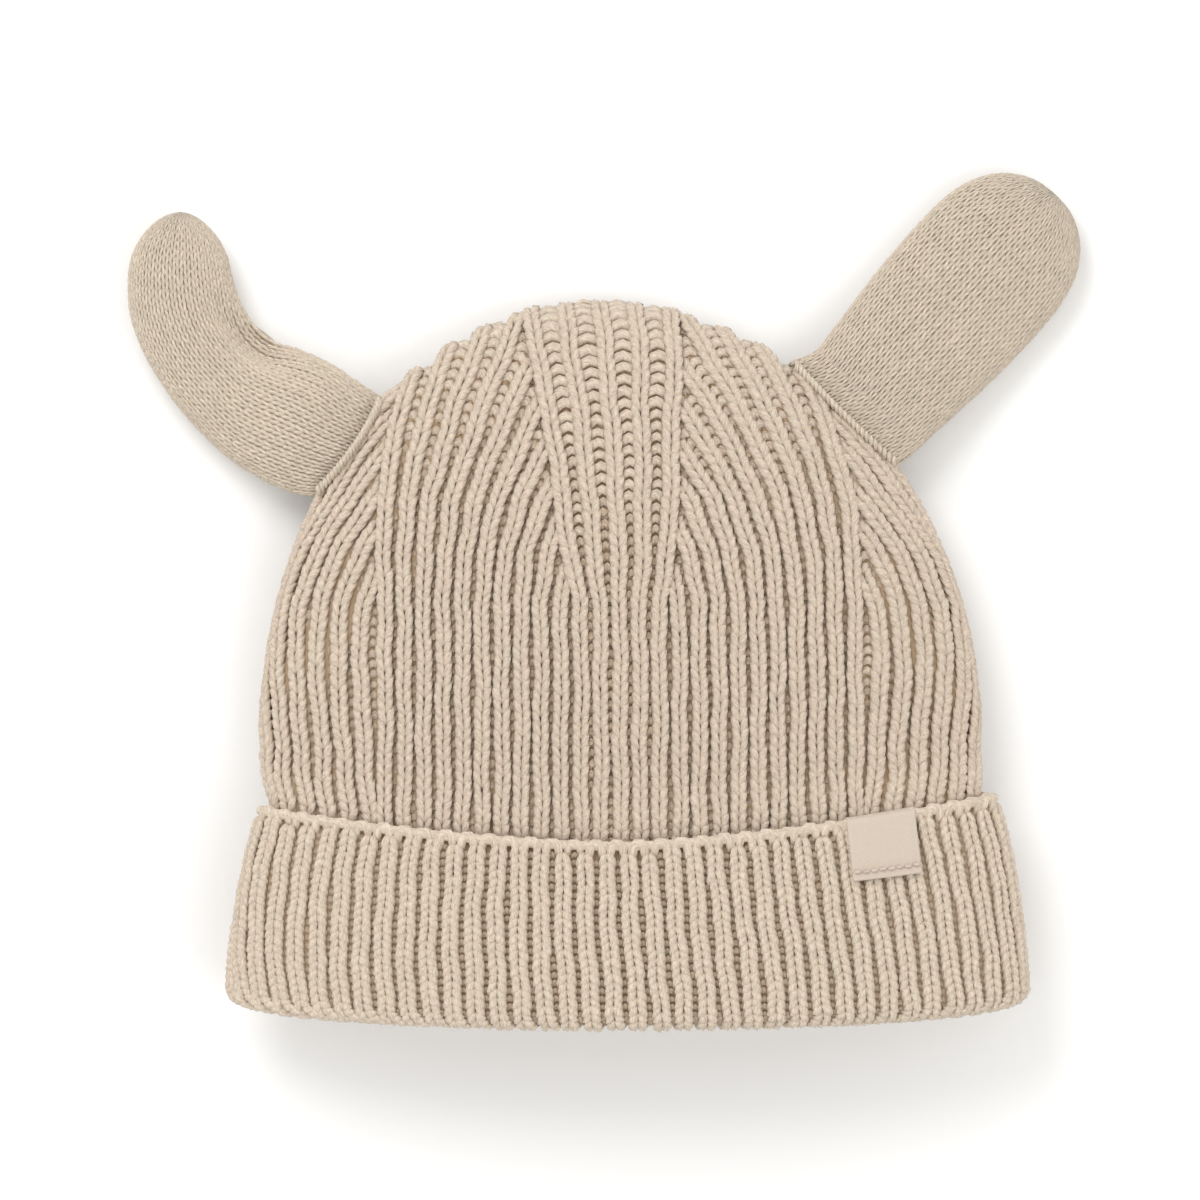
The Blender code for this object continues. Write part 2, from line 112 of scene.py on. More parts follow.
RIGHT_EAR_SECTIONS = (
    # along, sideways, width, depth, drop
    (0.05, 0.000, 0.880, 0.66, 0.06),
    (0.12, 0.001, 0.895, 0.82, 0.18),
    (0.22, 0.004, 0.930, 0.95, 0.45),
    (0.34, 0.009, 0.970, 1.00, 0.75),
    (0.48, 0.015, 1.000, 1.00, 0.96),
    (0.62, 0.021, 1.005, 0.98, 1.00),
    (0.745, 0.027, 0.975, 0.94, 1.00),
    (0.84, 0.031, 0.880, 0.86, 1.00),
    (0.915, 0.034, 0.705, 0.72, 1.00),
    (0.968, 0.036, 0.465, 0.52, 1.00),
    (0.992, 0.037, 0.240, 0.30, 1.00),
)

LEFT_EAR_SECTIONS = (
    # out, up, width, depth, drop, dent
    (0.050, 0.024, 0.960, 0.62, 0.06, 0.00),
    (0.110, 0.054, 1.010, 0.84, 0.20, 0.00),
    (0.185, 0.093, 1.010, 0.98, 0.45, 0.05),
    (0.260, 0.134, 0.965, 1.00, 0.70, 0.16),
    (0.327, 0.179, 0.890, 0.98, 0.88, 0.30),
    (0.387, 0.235, 0.845, 0.96, 0.98, 0.34),
    (0.436, 0.302, 0.830, 0.96, 1.00, 0.24),
    (0.475, 0.370, 0.828, 0.95, 1.00, 0.12),
    (0.501, 0.442, 0.825, 0.92, 1.00, 0.04),
    (0.511, 0.515, 0.795, 0.88, 1.00, 0.00),
    (0.512, 0.580, 0.745, 0.84, 1.00, 0.00),
    (0.510, 0.635, 0.635, 0.76, 1.00, 0.00),
    (0.508, 0.680, 0.475, 0.62, 1.00, 0.00),
    (0.506, 0.712, 0.295, 0.44, 1.00, 0.00),
    (0.505, 0.729, 0.130, 0.24, 1.00, 0.00),
)

RIGHT_EAR_TIP_SHARES = (1.0, 0.037)
LEFT_EAR_TIP_SHARES = (0.505, 0.735)

# Knit, as the photograph shows it
CROWN_ROW = 0.00273  # height of one row of stitches
TOP_ROW_GAIN = 0.2  # how much taller a row is at the crown's top
CUFF_ROW = 0.00205
CUFF_SKEW = 0.003  # how far the cuff's wales drift to the right on their way down to the fold
CUFF_TURN = 0.0075  # how far they turn in at the fold's left end
TURNED_WALES = 2  # that come round from the back there
RIGHT_EAR_KNIT = (0.0021, 0.0026)  # wale width, row height
LEFT_EAR_KNIT = (0.0024, 0.0023)
CROWN_COLUMN = 0.0057  # the widest that a column of stitches is drawn
CUFF_COLUMN = 0.0060
COLUMN_SHARE = 0.88  # of a column's width that its yarn covers
LEAST_OPENING = 0.0005  # between columns, for purl arches to show
TUCK = 0.0046  # how near a wale comes to the one that it ends on before it sinks under it
TUCK_DEPTH = 0.0013
INSIDE_RIPPLE = 0.0009  # how deep the ribs are on the crown's inside
CROWN_SUNK = 0.0025  # how far the backing lies below the crests
CUFF_SUNK = 0.0024
EAR_SUNK = 0.0009
FLOOR_CLEAR = 0.0002
UNEVEN = 0.05  # how much stitches differ, as a share
CROWN_YARN = 0.198  # the yarn's radius, as a share of its wale's width
CUFF_YARN = 0.190
EAR_YARN = 0.244
PURL_YARN = 0.48  # as a share of a row's height
PURL_FIRST = 0.35  # rows up to a gap's first arch
CROWN_YARN_SUNK = 0.0012  # how far the yarn's middle lies under the solid's face
CUFF_YARN_SUNK = 0.0011
EAR_YARN_SUNK = 0.26  # as a share of the wale's width
CROWN_PURL_SUNK = 0.0025
CUFF_PURL_SUNK = 0.0024
EDGE_SHARE = 0.985  # of the way to the crown's side edge, where its panels' wales stop
RIM_OUTER_ARCH = 0.00116  # radii of the rim's yarn
RIM_INNER_ARCH = 0.00090
RIM_CORD = 0.00125
RIM_OUTER_SUNK = 0.00115  # how far the rim's outer arches lie in its face
RIM_INNER_SUNK = 0.0009
RIM_CORD_DROP = 0.0007  # of the cord under the rim's edge
BACKING_DROP = 0.0004  # of the backing's edge there
SEAM_SPOTS = np.linspace(-0.95, 0.88, 25)  # where an ear's sewing stitches start, as shares of its half seam
SEAM_YARN = 0.00062  # radius of the yarn that sews the ears on
SEAM_SINK = 0.0008  # of an ear's sewn end into the crown's edge
EAR_ANGLES = np.arange(72) / 72 * 2 * math.pi  # of the points round each ring of an ear
EAR_RINGS = 90
CROWN_COLUMNS = 210  # steps of the backing across each face
CUFF_COLUMNS = 148
LABEL_FOLD = 0.0003  # thick where it's creased over the rim
LABEL_SETTLE = 0.0003  # down into the rim's edge there
LABEL_HEM = 0.0021  # from the label's lower edge up to its stitches
LABEL_THREAD = 0.00040  # radius of its stitches
LABEL_STITCHES = 8

# Colours
YARN_LIGHT = (0.668, 0.570, 0.468)
# A lighter copy of the crown's yarn colour: painted light that makes up for the deeper shade among the cuff's
# stitches.
CUFF_LIGHT = (0.695, 0.598, 0.490)
# Painted shade: the colour the yarn turns to on its undersides, at its sunk ends and in narrow purl gaps.
YARN_PAINTED_SHADE = (0.42, 0.305, 0.195)
# A lighter copy of the same yarn colour: painted light on the ears.
EAR_LIGHT = (0.718, 0.627, 0.512)
# Painted shade: the backings are brown, darker than the yarn, for the shade between the stitches and inside
# the crown.
BACKING_PAINTED_SHADE = (0.43, 0.31, 0.195)
EAR_BACKING_PAINTED_SHADE = (0.48, 0.39, 0.29)
LABEL_LIGHT = (0.605, 0.512, 0.424)
THREAD_LIGHT = (0.75, 0.632, 0.556)

# Camera, square above the hat
VIEW_MIDDLE = (-0.00533, 0.0225)
VIEW_WIDTH = 0.312  # that the photograph takes in, at the hat's middle height
MIDDLE_HEIGHT = 0.020
CAMERA_DISTANCE = 1.5
SENSOR = 36.0

random = np.random.default_rng(11)

Level = namedtuple("Level", "half_width half_depth side sag shift height floor rise taper bend tilt")


def ease(share):
    """A smooth step from 0 to 1."""
    share = min(max(share, 0.0), 1.0)
    return share * share * (3 - 2 * share)


def mix(low, high, share):
    return low + (high - low) * share


def cuff_level(up, inset=0.0):
    """The cuff's section at this height above its fold, inset from its outer face."""
    share = up / CUFF_HEIGHT
    sag = mix(FOLD_SAG, RIM_SAG, share)
    half_depth = mix(FOLD_DEPTH, RIM_DEPTH, share) / 2
    half_width = mix(FOLD_WIDTH, RIM_WIDTH, share) / 2 + 4 * CUFF_BULGE * share * (1 - share)
    sizes = half_width - inset, half_depth - inset, up + sag, sag, CUFF_SHIFT, half_depth - PRESSED
    return Level(*sizes, floor=inset, rise=0.0, taper=1.0, bend=share, tilt=RIM_TILT * share)


def crown_level(up, inset=0.0):
    """The crown's section at this height above the fold, inset from its outer face."""
    tucked = cuff_level(min(up, CUFF_HEIGHT))
    free = ease((up - CUFF_HEIGHT - RIM_ROLL) / RELEASE)
    side = up + RIM_SAG if up > CUFF_HEIGHT else tucked.side
    top = DOME_HEIGHT - inset
    rise = min(max((side - DOME_START) / top, 0.0), 1.0)
    taper = math.sqrt(1 - rise * rise)
    fullness = taper**DEPTH_POWER
    risen = 1 - ease((up - CUFF_HEIGHT) / (3 * RELEASE))
    half_depth = CROWN_DEPTH / 2
    resting = TOP_REST + (half_depth - PRESSED - TOP_REST) * fullness
    return Level(
        mix(tucked.half_width - CUFF_LAYER - SIDE_EASE, CROWN_WIDTH / 2, free) * taper - inset * taper,
        mix(tucked.half_depth - CUFF_LAYER - FACE_EASE, half_depth, free) * fullness - inset * fullness,
        side,
        RIM_SAG * risen if up > CUFF_HEIGHT else tucked.sag,
        mix(CUFF_SHIFT, -DOME_LEAN * rise**LEAN_POWER, free),
        mix(tucked.height, resting, free),
        mix(CUFF_LAYER + SIDE_EASE, 0.0, free) + inset,
        rise,
        taper,
        tucked.bend,
        tucked.tilt * risen,
    )


def quarter_run(level):
    """Angles from the middle of a face to its side edge, and the distance along the section to each."""
    turn = np.linspace(0, math.pi / 2, ARC_STEPS)
    across = level.half_width * np.sin(turn)
    deep = level.half_depth * np.cos(turn)
    return turn, np.concatenate([[0.0], np.cumsum(np.hypot(np.diff(across), np.diff(deep)))])


def reach_of(level):
    """The distance along a section from the middle of a face to its side edge."""
    return quarter_run(level)[1][-1]


def section_points(level, arcs, front, relief):
    """Points at these distances from the middle of a face, relief being how far each is sunk."""
    turn, run = quarter_run(level)
    angle = np.copysign(np.interp(np.abs(arcs), run, turn), arcs)
    sine, cosine = np.sin(angle), np.cos(angle)
    side = 1.0 if front else -1.0
    bow = np.sqrt(cosine**2 + BOW_SOFTNESS**2) - BOW_SOFTNESS
    bow = bow / (math.sqrt(1 + BOW_SOFTNESS**2) - BOW_SOFTNESS)
    bow = mix(bow, 1 - np.abs(sine) ** RIM_BOW_POWER, level.bend)
    along = level.side - level.sag * bow + level.tilt * sine - REST_FROM_FOLD
    high = level.height + side * level.half_depth * cosine
    points = np.stack([level.shift + level.half_width * sine, along, high], axis=1)
    across = level.taper * sine / CROWN_WIDTH * 2
    steep = np.full_like(sine, level.rise / DOME_HEIGHT)
    outward = np.stack([across, steep, side * level.taper * cosine / CROWN_DEPTH * 2], axis=1)
    outward /= np.linalg.norm(outward, axis=1)[:, None]
    points -= outward * relief[:, None]
    points[:, 2] = np.maximum(points[:, 2], level.floor)
    return points


PER_HALF = WEDGE_WALES / 2 + PANEL_WALES + 1 + SIDE_WALES
DOME_FOOT = DOME_START - RIM_SAG
FOLD_RADIUS = (CUFF_LAYER + SIDE_EASE + CROWN_WALL) / 2
FOOT_WIDTH = reach_of(crown_level(DOME_FOOT)) / PER_HALF

Wale = namedtuple("Wale", "place width lift front back")
Path = namedtuple("Path", "points along across out width row length lift")


def tucked(distance):
    """How deep a wale lies at this distance from the wale that it ends on."""
    return -TUCK_DEPTH * ease((TUCK - distance) / (0.7 * TUCK))


def half_wales(level):
    """The wales of half a face at a level, from the middle out, and on which faces each one still runs."""
    table = np.array(DART_LAYOUT)
    shares = [np.interp(level.rise, table[:, 0], table[:, column]) for column in range(1, table.shape[1])]
    wedge, wale, side_wale, overhang = (shares[index] * FOOT_WIDTH for index in (0, 1, 3, 4))
    dart = shares[2] * CROWN_WIDTH / 2
    reach = reach_of(level)
    least = 0.3 * TUCK
    last = WEDGE_WALES // 2
    wales = []
    for number in range(last + 1):
        runs = number * wedge < EDGE_SHARE * reach
        raised = 0.0004 * ease((level.rise - 0.3) / 0.1) if number == last else 0.0
        wales.append(Wale(number * wedge, wedge, raised, runs, runs))
    for number in range(PANEL_WALES, 0, -1):
        place = dart - number * wale
        gap = place - last * wedge
        runs = gap > least and place < EDGE_SHARE * reach
        wales.append(Wale(place, wale, tucked(gap), runs, runs))
    runs = dart < EDGE_SHARE * reach
    wales.append(Wale(dart, wale, 0.0002, runs, runs))
    for number in range(SIDE_WALES, 0, -1):
        place = reach + overhang - (number - 0.5) * side_wale
        gap = place - dart
        front = gap > least and place < reach + 0.5 * side_wale
        back = gap > least and place < reach - 0.4 * side_wale
        wales.append(Wale(min(place, reach), side_wale, tucked(gap), front, back))
    return wales


def surface_path(levels, arcs, widths, rows, lift, front):
    """A wale's path over a face: at each level its point, its three directions, its width and row height."""
    aside = np.array([-0.0004, 0.0, 0.0004])
    found = [section_points(level, arc + aside, front, np.zeros(3)) for level, arc in zip(levels, arcs)]
    left, points, right = np.swapaxes(found, 0, 1)
    along = unit(np.gradient(points, axis=0))
    out = unit(np.cross(right - left, along)) * (1.0 if front else -1.0)
    across = np.cross(along, out)
    return Path(points, along, across, out, widths, rows, running_length(points), lift)


def unit(vectors):
    return vectors / (np.linalg.norm(vectors, axis=-1)[..., None] + 1e-12)


def running_length(points):
    return np.concatenate([[0.0], np.cumsum(np.linalg.norm(np.diff(points, axis=0), axis=1))])


def wale_anchors(path, sunk, first=0.0, spare=0.0, stations=None):
    """Anchors of a path's stitches, one a row: point, along, across, out, width and row height.

    With stations, in rows from the anchor, the first four are read for each of them along the path.
    """
    steps = np.diff(path.length) / ((path.row[1:] + path.row[:-1]) / 2)
    counts = np.concatenate([[0.0], np.cumsum(steps)])
    rows = np.arange(first, counts[-1] - spare, 1.0)
    at = np.interp(rows, counts, path.length)
    width, row = (np.interp(at, path.length, values) for values in (path.width, path.row))
    spots = at if stations is None else at[:, None] + stations[None, :] * row[:, None]
    points, along, across, out = (
        np.stack([np.interp(spots, path.length, values[:, axis]) for axis in range(3)], axis=-1)
        for values in path[:4]
    )
    lift = np.interp(spots, path.length, path.lift)
    return points + out * (lift - sunk)[..., None], along, across, out, width, row


def gather(stitches):
    """Anchors of many wales as one set of arrays."""
    return [np.concatenate([stitch[index] for stitch in stitches]) for index in range(6)]


# Each row of these tables is across, along, height and radius. In a leg of a stitch they are shares of the
# wale's width and of the row's height, then the height of the yarn's middle and its radius as shares of the
# yarn's full radius.
UPRIGHT_LEG = (
    (0.060, -0.46, -1.00, 0.62),
    (0.118, -0.04, -0.10, 0.95),
    (0.190, 0.46, 0.20, 1.04),
    (0.250, 0.98, 0.00, 1.00),
    (0.290, 1.55, -0.95, 0.66),
)

# The cuff's rows are lower, so its legs reach over more of them.
CUFF_LEG = (
    (0.060, -0.52, -1.00, 0.60),
    (0.115, -0.02, -0.10, 0.94),
    (0.190, 0.58, 0.26, 1.06),
    (0.258, 1.16, -0.02, 0.98),
    (0.295, 1.72, -1.00, 0.62),
)

# A stitch of the plain knit on the ears, where neighbouring wales touch
PLAIN_LEG = (
    (0.090, -0.34, -0.90, 0.62),
    (0.160, 0.08, 0.00, 0.98),
    (0.300, 0.80, 0.06, 0.98),
    (0.370, 1.30, -0.90, 0.62),
)

# An arch of yarn: across is a share of the gap that it spans, along and height are shares of its radius.
PURL_ARCH = (
    (-0.70, -1.00, -0.70, 0.72),
    (-0.36, 0.00, -0.05, 1.00),
    (0.00, 0.40, 0.12, 1.06),
    (0.36, 0.00, -0.05, 1.00),
    (0.70, -1.00, -0.70, 0.72),
)
RIM_ARCH = (
    (-0.285, -3.20, -1.05, 0.66),
    (-0.290, -1.90, -0.10, 0.98),
    (-0.262, -0.78, 0.10, 1.06),
    (-0.130, -0.16, 0.08, 1.10),
    (0.130, -0.16, 0.08, 1.10),
    (0.262, -0.78, 0.10, 1.06),
    (0.290, -1.90, -0.10, 0.98),
    (0.285, -3.20, -1.05, 0.66),
)


Batch = namedtuple("Batch", "points quads ends yarn shade tint")


def side_turns(sides):
    """The angles of a yarn's sides."""
    return (np.arange(sides) + 0.5) / sides * 2 * math.pi


def tube_batch(vertices, run, shade, tint):
    """A batch of tubes from their vertices, by tube, station and side, kept clear of the floor.

    The yarn's own coordinates are its run in millimetres, and the direction round it.
    """
    vertices[..., 2] = np.maximum(vertices[..., 2], FLOOR_CLEAR)
    shape = vertices.shape[:3]
    turns = side_turns(shape[2])
    yarn = np.stack(np.broadcast_arrays(run[..., None] * 1000, np.cos(turns), np.sin(turns)), axis=-1)
    quads, ends = tube_faces(*shape)
    shades, tints = (np.broadcast_to(values, shape).reshape(-1) for values in (shade, tint[:, None, None]))
    return Batch(vertices.reshape(-1, 3), quads, ends, yarn.reshape(-1, 3), shades, tints)


def sweep(x, y, z, size, frames, sides):
    """Vertices of tubes whose middles are x across, y along and z out from their frames, one row a tube.

    Frames are point, along, across and out. Where they are given for each station, they already hold y.
    """
    points, along, across, out = (values if values.ndim == 3 else values[:, None, :] for values in frames)
    held = 1.0 if points.shape[1] > 1 else 0.0
    lean_x, lean_y = np.gradient(x, axis=1), np.gradient(y, axis=1)
    norm = np.hypot(lean_x, lean_y) + 1e-12
    side_x, side_y = lean_y / norm, -lean_x / norm
    vertices = np.empty((*x.shape, sides, 3))
    for number, turn in enumerate(side_turns(sides)):
        px = x + side_x * size * math.cos(turn)
        py = y * (1 - held) + side_y * size * math.cos(turn)
        pz = z + size * math.sin(turn)
        place = points + px[..., None] * across + py[..., None] * along + pz[..., None] * out
        vertices[:, :, number] = place
    return vertices


def stitch_batch(paths, leg, sides, yarn_share, sunk, flip=1.0, first=0.0, spare=0.0):
    """Tubes for both legs of every stitch on these paths."""
    across, along, height, thick = np.array(leg).T
    *frames, width, row = gather([wale_anchors(path, sunk, first, spare, flip * along) for path in paths])
    count = len(width)
    radius = (yarn_share * width * (1 + random.normal(0, UNEVEN, count)))[:, None]
    tint = random.random(count)
    slide = random.normal(0, UNEVEN * 0.5, (count, 2))[:, :1]
    rows = row[:, None]
    # Painted shade: each leg is darker on its underside and where its middle sinks, at its ends.
    shade = np.clip(0.5 + 0.5 * (height[:, None] + np.sin(side_turns(sides))), 0, 1)
    parts = []
    for hand in (-1.0, 1.0):
        wobble = random.normal(0, UNEVEN, (count, 3))
        x = hand * (across + slide * 0.3) * width[:, None] + wobble[:, :1] * radius
        z = (height + wobble[:, 1:2]) * radius
        size = thick * radius * (1 + wobble[:, 2:] * 0.6)
        vertices = sweep(x, flip * along * rows, z, size, frames, sides)
        tints = (tint + 0.37 * (hand > 0)) % 1.0
        parts.append(tube_batch(vertices, along * rows * hand, shade, tints))
    return join_batches(parts)


def arch_batch(anchors, table, radius, sides, low_shade, high_shade=1.0):
    """Arches of yarn over gaps, the anchors' widths being the gaps.

    Radius and high_shade may be a number for each arch. The arches carry painted shade: low_shade on their
    undersides, high_shade on their tops.
    """
    *frames, width, _ = anchors
    count = len(width)
    across, along, height, thick = np.array(table).T
    radius = (radius * (1 + random.normal(0, 0.06, count)))[:, None]
    sway = random.normal(0, 0.08, (count, 2))
    x = across * width[:, None] + sway[:, :1] * radius
    y = (along + sway[:, 1:]) * radius
    vertices = sweep(x, y, height * radius, thick * radius, frames, sides)
    high = np.reshape(high_shade, (-1, 1, 1))
    # Painted shade, from low_shade under each arch to high_shade on its top.
    shade = low_shade + (high - low_shade) * (0.5 + 0.5 * np.sin(side_turns(sides)))
    return tube_batch(vertices, x, shade, random.random(count))


def cord_batch(paths, radii, sides, shade):
    """Round cords along paths of points, all paths with the same number of points."""
    along = unit(np.gradient(paths, axis=1))
    side = unit(np.cross(along, np.array([0.13, 0.21, 1.0])))
    other = np.cross(side, along)
    turns = side_turns(sides)[:, None]
    round_ = side[:, :, None] * np.cos(turns) + other[:, :, None] * np.sin(turns)
    vertices = paths[:, :, None] + round_ * radii[..., None, None]
    run = np.cumsum(np.linalg.norm(np.diff(paths, axis=1, prepend=paths[:, :1]), axis=2), axis=1)
    return tube_batch(vertices, run, shade, random.random(len(paths)))


def tube_faces(count, stations, sides):
    """Side quads and end faces of this many tubes, one after the other."""
    ring = np.arange(sides)
    after = (ring + 1) % sides
    rings = [(low, low + sides) for low in range(0, (stations - 1) * sides, sides)]
    quads = [np.stack([low + ring, high + ring, high + after, low + after], axis=1) for low, high in rings]
    ends = np.stack([ring, (stations - 1) * sides + ring[::-1]])
    starts = (np.arange(count) * stations * sides)[:, None, None]
    return (np.concatenate(quads) + starts).reshape(-1, 4), (ends + starts).reshape(-1, sides)


def join_batches(batches):
    """One batch of several, whose end faces may differ in their number of sides."""
    starts = np.cumsum([0] + [len(batch.points) for batch in batches])
    quads = np.concatenate([batch.quads + start for batch, start in zip(batches, starts)])
    ends = [face for batch, start in zip(batches, starts) for face in (batch.ends + start)]
    points, _, _, *values = zip(*batches)
    return Batch(np.concatenate(points), quads, ends, *(np.concatenate(parts) for parts in values))


def add_object(name, data):
    made = bpy.data.objects.new(name, data)
    bpy.context.scene.collection.objects.link(made)
    return made


def mesh_from(name, batch):
    """A smooth mesh object of a batch, with the yarn's own coordinates kept as attributes."""
    corners = np.concatenate([batch.quads.reshape(-1)] + [np.asarray(face) for face in batch.ends])
    totals = np.concatenate([np.full(len(batch.quads), 4), [len(face) for face in batch.ends]])
    starts = np.concatenate([[0], np.cumsum(totals)[:-1]])
    mesh = bpy.data.meshes.new(name)
    mesh.vertices.add(len(batch.points))
    mesh.vertices.foreach_set("co", batch.points.astype(np.float32).reshape(-1))
    mesh.loops.add(len(corners))
    mesh.loops.foreach_set("vertex_index", corners.astype(np.int32))
    mesh.polygons.add(len(totals))
    mesh.polygons.foreach_set("loop_start", starts.astype(np.int32))
    mesh.update(calc_edges=True)
    for key, kind, values in (
        ("yarn", "FLOAT_VECTOR", batch.yarn),
        ("shade", "FLOAT", batch.shade),
        ("tint", "FLOAT", batch.tint),
    ):
        field = "vector" if kind == "FLOAT_VECTOR" else "value"
        layer = mesh.attributes.new(key, kind, "POINT")
        layer.data.foreach_set(field, np.ascontiguousarray(values, dtype=np.float32).reshape(-1))
    mesh.shade_smooth()
    return add_object(name, mesh)


def capped(first, rings, last):
    """The rings with a point before and after them, each as a ring that has closed up."""
    size = (len(rings[0]), 1)
    return [np.tile(first, size), *rings, np.tile(last, size)]


def grid_batch(rings):
    """Quads over rings of the same count, each ring closed."""
    rows, count = len(rings), len(rings[0])
    ring = np.arange(count)
    after = (ring + 1) % count
    quads = [
        np.stack([low + ring, low + after, low + count + after, low + count + ring], axis=1)
        for low in range(0, (rows - 1) * count, count)
    ]
    points = np.concatenate(rings)
    total = len(points)
    yarn, shade, tint = np.zeros((total, 3)), np.zeros(total), np.full(total, 0.5)
    return Batch(points, np.concatenate(quads), [], yarn, shade, tint)


def crown_levels():
    """Levels from just under the cuff's rim to the crown's top."""
    straight = np.arange(CUFF_HEIGHT - 0.005, DOME_FOOT, 0.0015)
    turns = np.linspace(0, math.pi / 2, 120)
    return [crown_level(up) for up in straight] + [
        crown_level(DOME_FOOT + DOME_HEIGHT * math.sin(turn)) for turn in turns
    ]


def steadied(level, arc):
    """The arc that holds a wale on its line below the dome, where the crown narrows into the cuff."""
    reach = reach_of(level)
    moved = arc - level.shift if level.rise == 0 else arc
    return min(max(moved, -reach), reach)


def wander(levels):
    """A small sideways drift along a wale, which no hand-laid knit is without."""
    up = np.array([level.side for level in levels])
    slow, quick = random.uniform(0, 2 * math.pi, 2)
    return 0.00022 * np.sin(up / 0.0045 + slow) + 0.00012 * np.sin(up / 0.0019 + quick)


def crown_paths(front):
    """The paths of all the wales on one face of the crown, and of the gaps between them that show purl."""
    levels = crown_levels()
    table = [half_wales(level) for level in levels]
    rise = np.array([level.rise for level in levels])
    rows = CROWN_ROW * (1 + TOP_ROW_GAIN * np.clip((rise - 0.3) / 0.5, 0, 1))
    wales, gaps = [], []

    def lay(arcs, widths, lift, runs, kept):
        """Adds the stretch of a line on which it runs, if that is long enough for a stitch or two."""
        places = np.flatnonzero(runs)
        if len(places) < 5:
            return
        part = slice(places[0], places[-1] + 1)
        placed = [steadied(level, arc) for level, arc in zip(levels[part], arcs[part])]
        kept.append(surface_path(levels[part], placed, widths[part], rows[part], lift[part], front))

    for hand in (-1.0, 1.0):
        done = []
        for number in range(len(table[0])):
            column = [row[number] for row in table]
            runs = np.array([wale.front if front else wale.back for wale in column])
            arcs = np.array([wale.place for wale in column]) * hand + wander(levels)
            widths = np.minimum([wale.width for wale in column], CROWN_COLUMN)
            lift = np.array([wale.lift for wale in column])
            if number or hand > 0:
                lay(arcs, widths, lift, runs, wales)
            if done:
                near, near_widths, _ = done[0]
                for other_arcs, other_widths, other_runs in done[1:]:
                    near = np.where(other_runs, other_arcs, near)
                    near_widths = np.where(other_runs, other_widths, near_widths)
                opening = np.abs(arcs - near) - COLUMN_SHARE * (widths + near_widths) / 2
                sunk = np.full(len(levels), -0.0005 if number > WEDGE_WALES // 2 else 0.0)
                both = runs & (opening > LEAST_OPENING)
                lay((arcs + near) / 2, np.maximum(opening, LEAST_OPENING), sunk, both, gaps)
            done.append((arcs, widths, runs))
    return wales, gaps


def purl_batch(gaps, sunk, spare):
    """Purl arches across the gaps: low and darkened with painted shade in a narrow gap, raised and with less
    painted shade in a wide one.
    """
    anchors = gather([wale_anchors(path, sunk, PURL_FIRST, spare) for path in gaps])
    wide = np.clip((anchors[4] - 0.0012) / 0.0022, 0, 1)
    anchors[0] = anchors[0] + anchors[3] * (0.0005 * wide)[:, None]
    anchors[4] = anchors[4] + 0.0010
    # Painted shade: 0.04 under each arch, and on top from 0.20 in a narrow gap up to 1.0 in a wide one.
    return arch_batch(anchors, PURL_ARCH, anchors[5] * PURL_YARN, 4, 0.04, 0.20 + 0.8 * wide)


def yarn_sides(front):
    """How many sides a yarn has: fewer behind, where the hat lies on them."""
    return 5 if front else 4


def face_name(front):
    return "front" if front else "back"


def knit_pieces(part, front, legs, purl):
    face = face_name(front)
    return mesh_from(f"{part}_knit_{face}", legs), mesh_from(f"{part}_purl_{face}", purl)


def make_crown_knit(front):
    wales, gaps = crown_paths(front)
    legs = stitch_batch(wales, UPRIGHT_LEG, yarn_sides(front), CROWN_YARN, CROWN_YARN_SUNK)
    purl = purl_batch(gaps, CROWN_PURL_SUNK, -0.5)
    return knit_pieces("crown", front, legs, purl)


def base_ring(level, columns, sunk, ripple=0.0):
    """A closed ring of the backing, with this many steps for each face. Ripple is the depth of its ribs."""
    reach = reach_of(level)
    arcs = np.linspace(-reach, reach, columns + 1)
    relief = sunk - ripple * np.abs(np.sin(arcs / reach * PER_HALF * math.pi))
    front = section_points(level, arcs, True, relief)
    back = section_points(level, arcs, False, relief)
    ring = np.concatenate([front, back[-2:0:-1]])
    ring[:, 2] = np.maximum(ring[:, 2], FLOOR_CLEAR + min(sunk, 0.001))
    return ring


def make_crown_base():
    """The backing that shows between the stitches, and the crown's inside."""
    foot = LIP_HEIGHT + 0.0003
    lower = [mix(foot, CUFF_HEIGHT, share) for share in (0.0, 0.35, 0.7, 0.95)]
    middle = list(np.arange(CUFF_HEIGHT + 0.001, DOME_FOOT, 0.004))
    turns = np.linspace(0, math.pi / 2, 30)[:-1]

    def rings(wall, sunk, ripple):
        """Rings this far inside the solid's face, up to the dome's top, and the point that closes them."""
        dome = [DOME_FOOT + (DOME_HEIGHT - wall) * math.sin(turn) for turn in turns]
        made = [base_ring(crown_level(up, wall), CROWN_COLUMNS, sunk, ripple) for up in lower + middle + dome]
        top = DOME_START + DOME_HEIGHT - REST_FROM_FOLD
        return made, [-DOME_LEAN, top - wall - sunk, TOP_REST]

    outer, tip = rings(0.0, CROWN_SUNK, 0.0)
    inner, inner_tip = rings(CROWN_WALL, 0.0, INSIDE_RIPPLE)
    return mesh_from("crown_backing", grid_batch(capped(inner_tip, inner[::-1] + outer, tip)))


def cuff_profile():
    """Heights and insets round the cuff: up the inside of its fold from the lip, under it and up its face."""
    radius = FOLD_RADIUS
    inside = [(up, 2 * radius) for up in np.linspace(LIP_HEIGHT, radius, 5)[:-1]]
    turns = np.linspace(0, math.pi, 13)
    fold = [(radius - radius * math.sin(turn), radius + radius * math.cos(turn)) for turn in turns]
    outside = [(up, 0.0) for up in np.linspace(radius, CUFF_HEIGHT, 30)[1:]]
    return inside + fold + outside


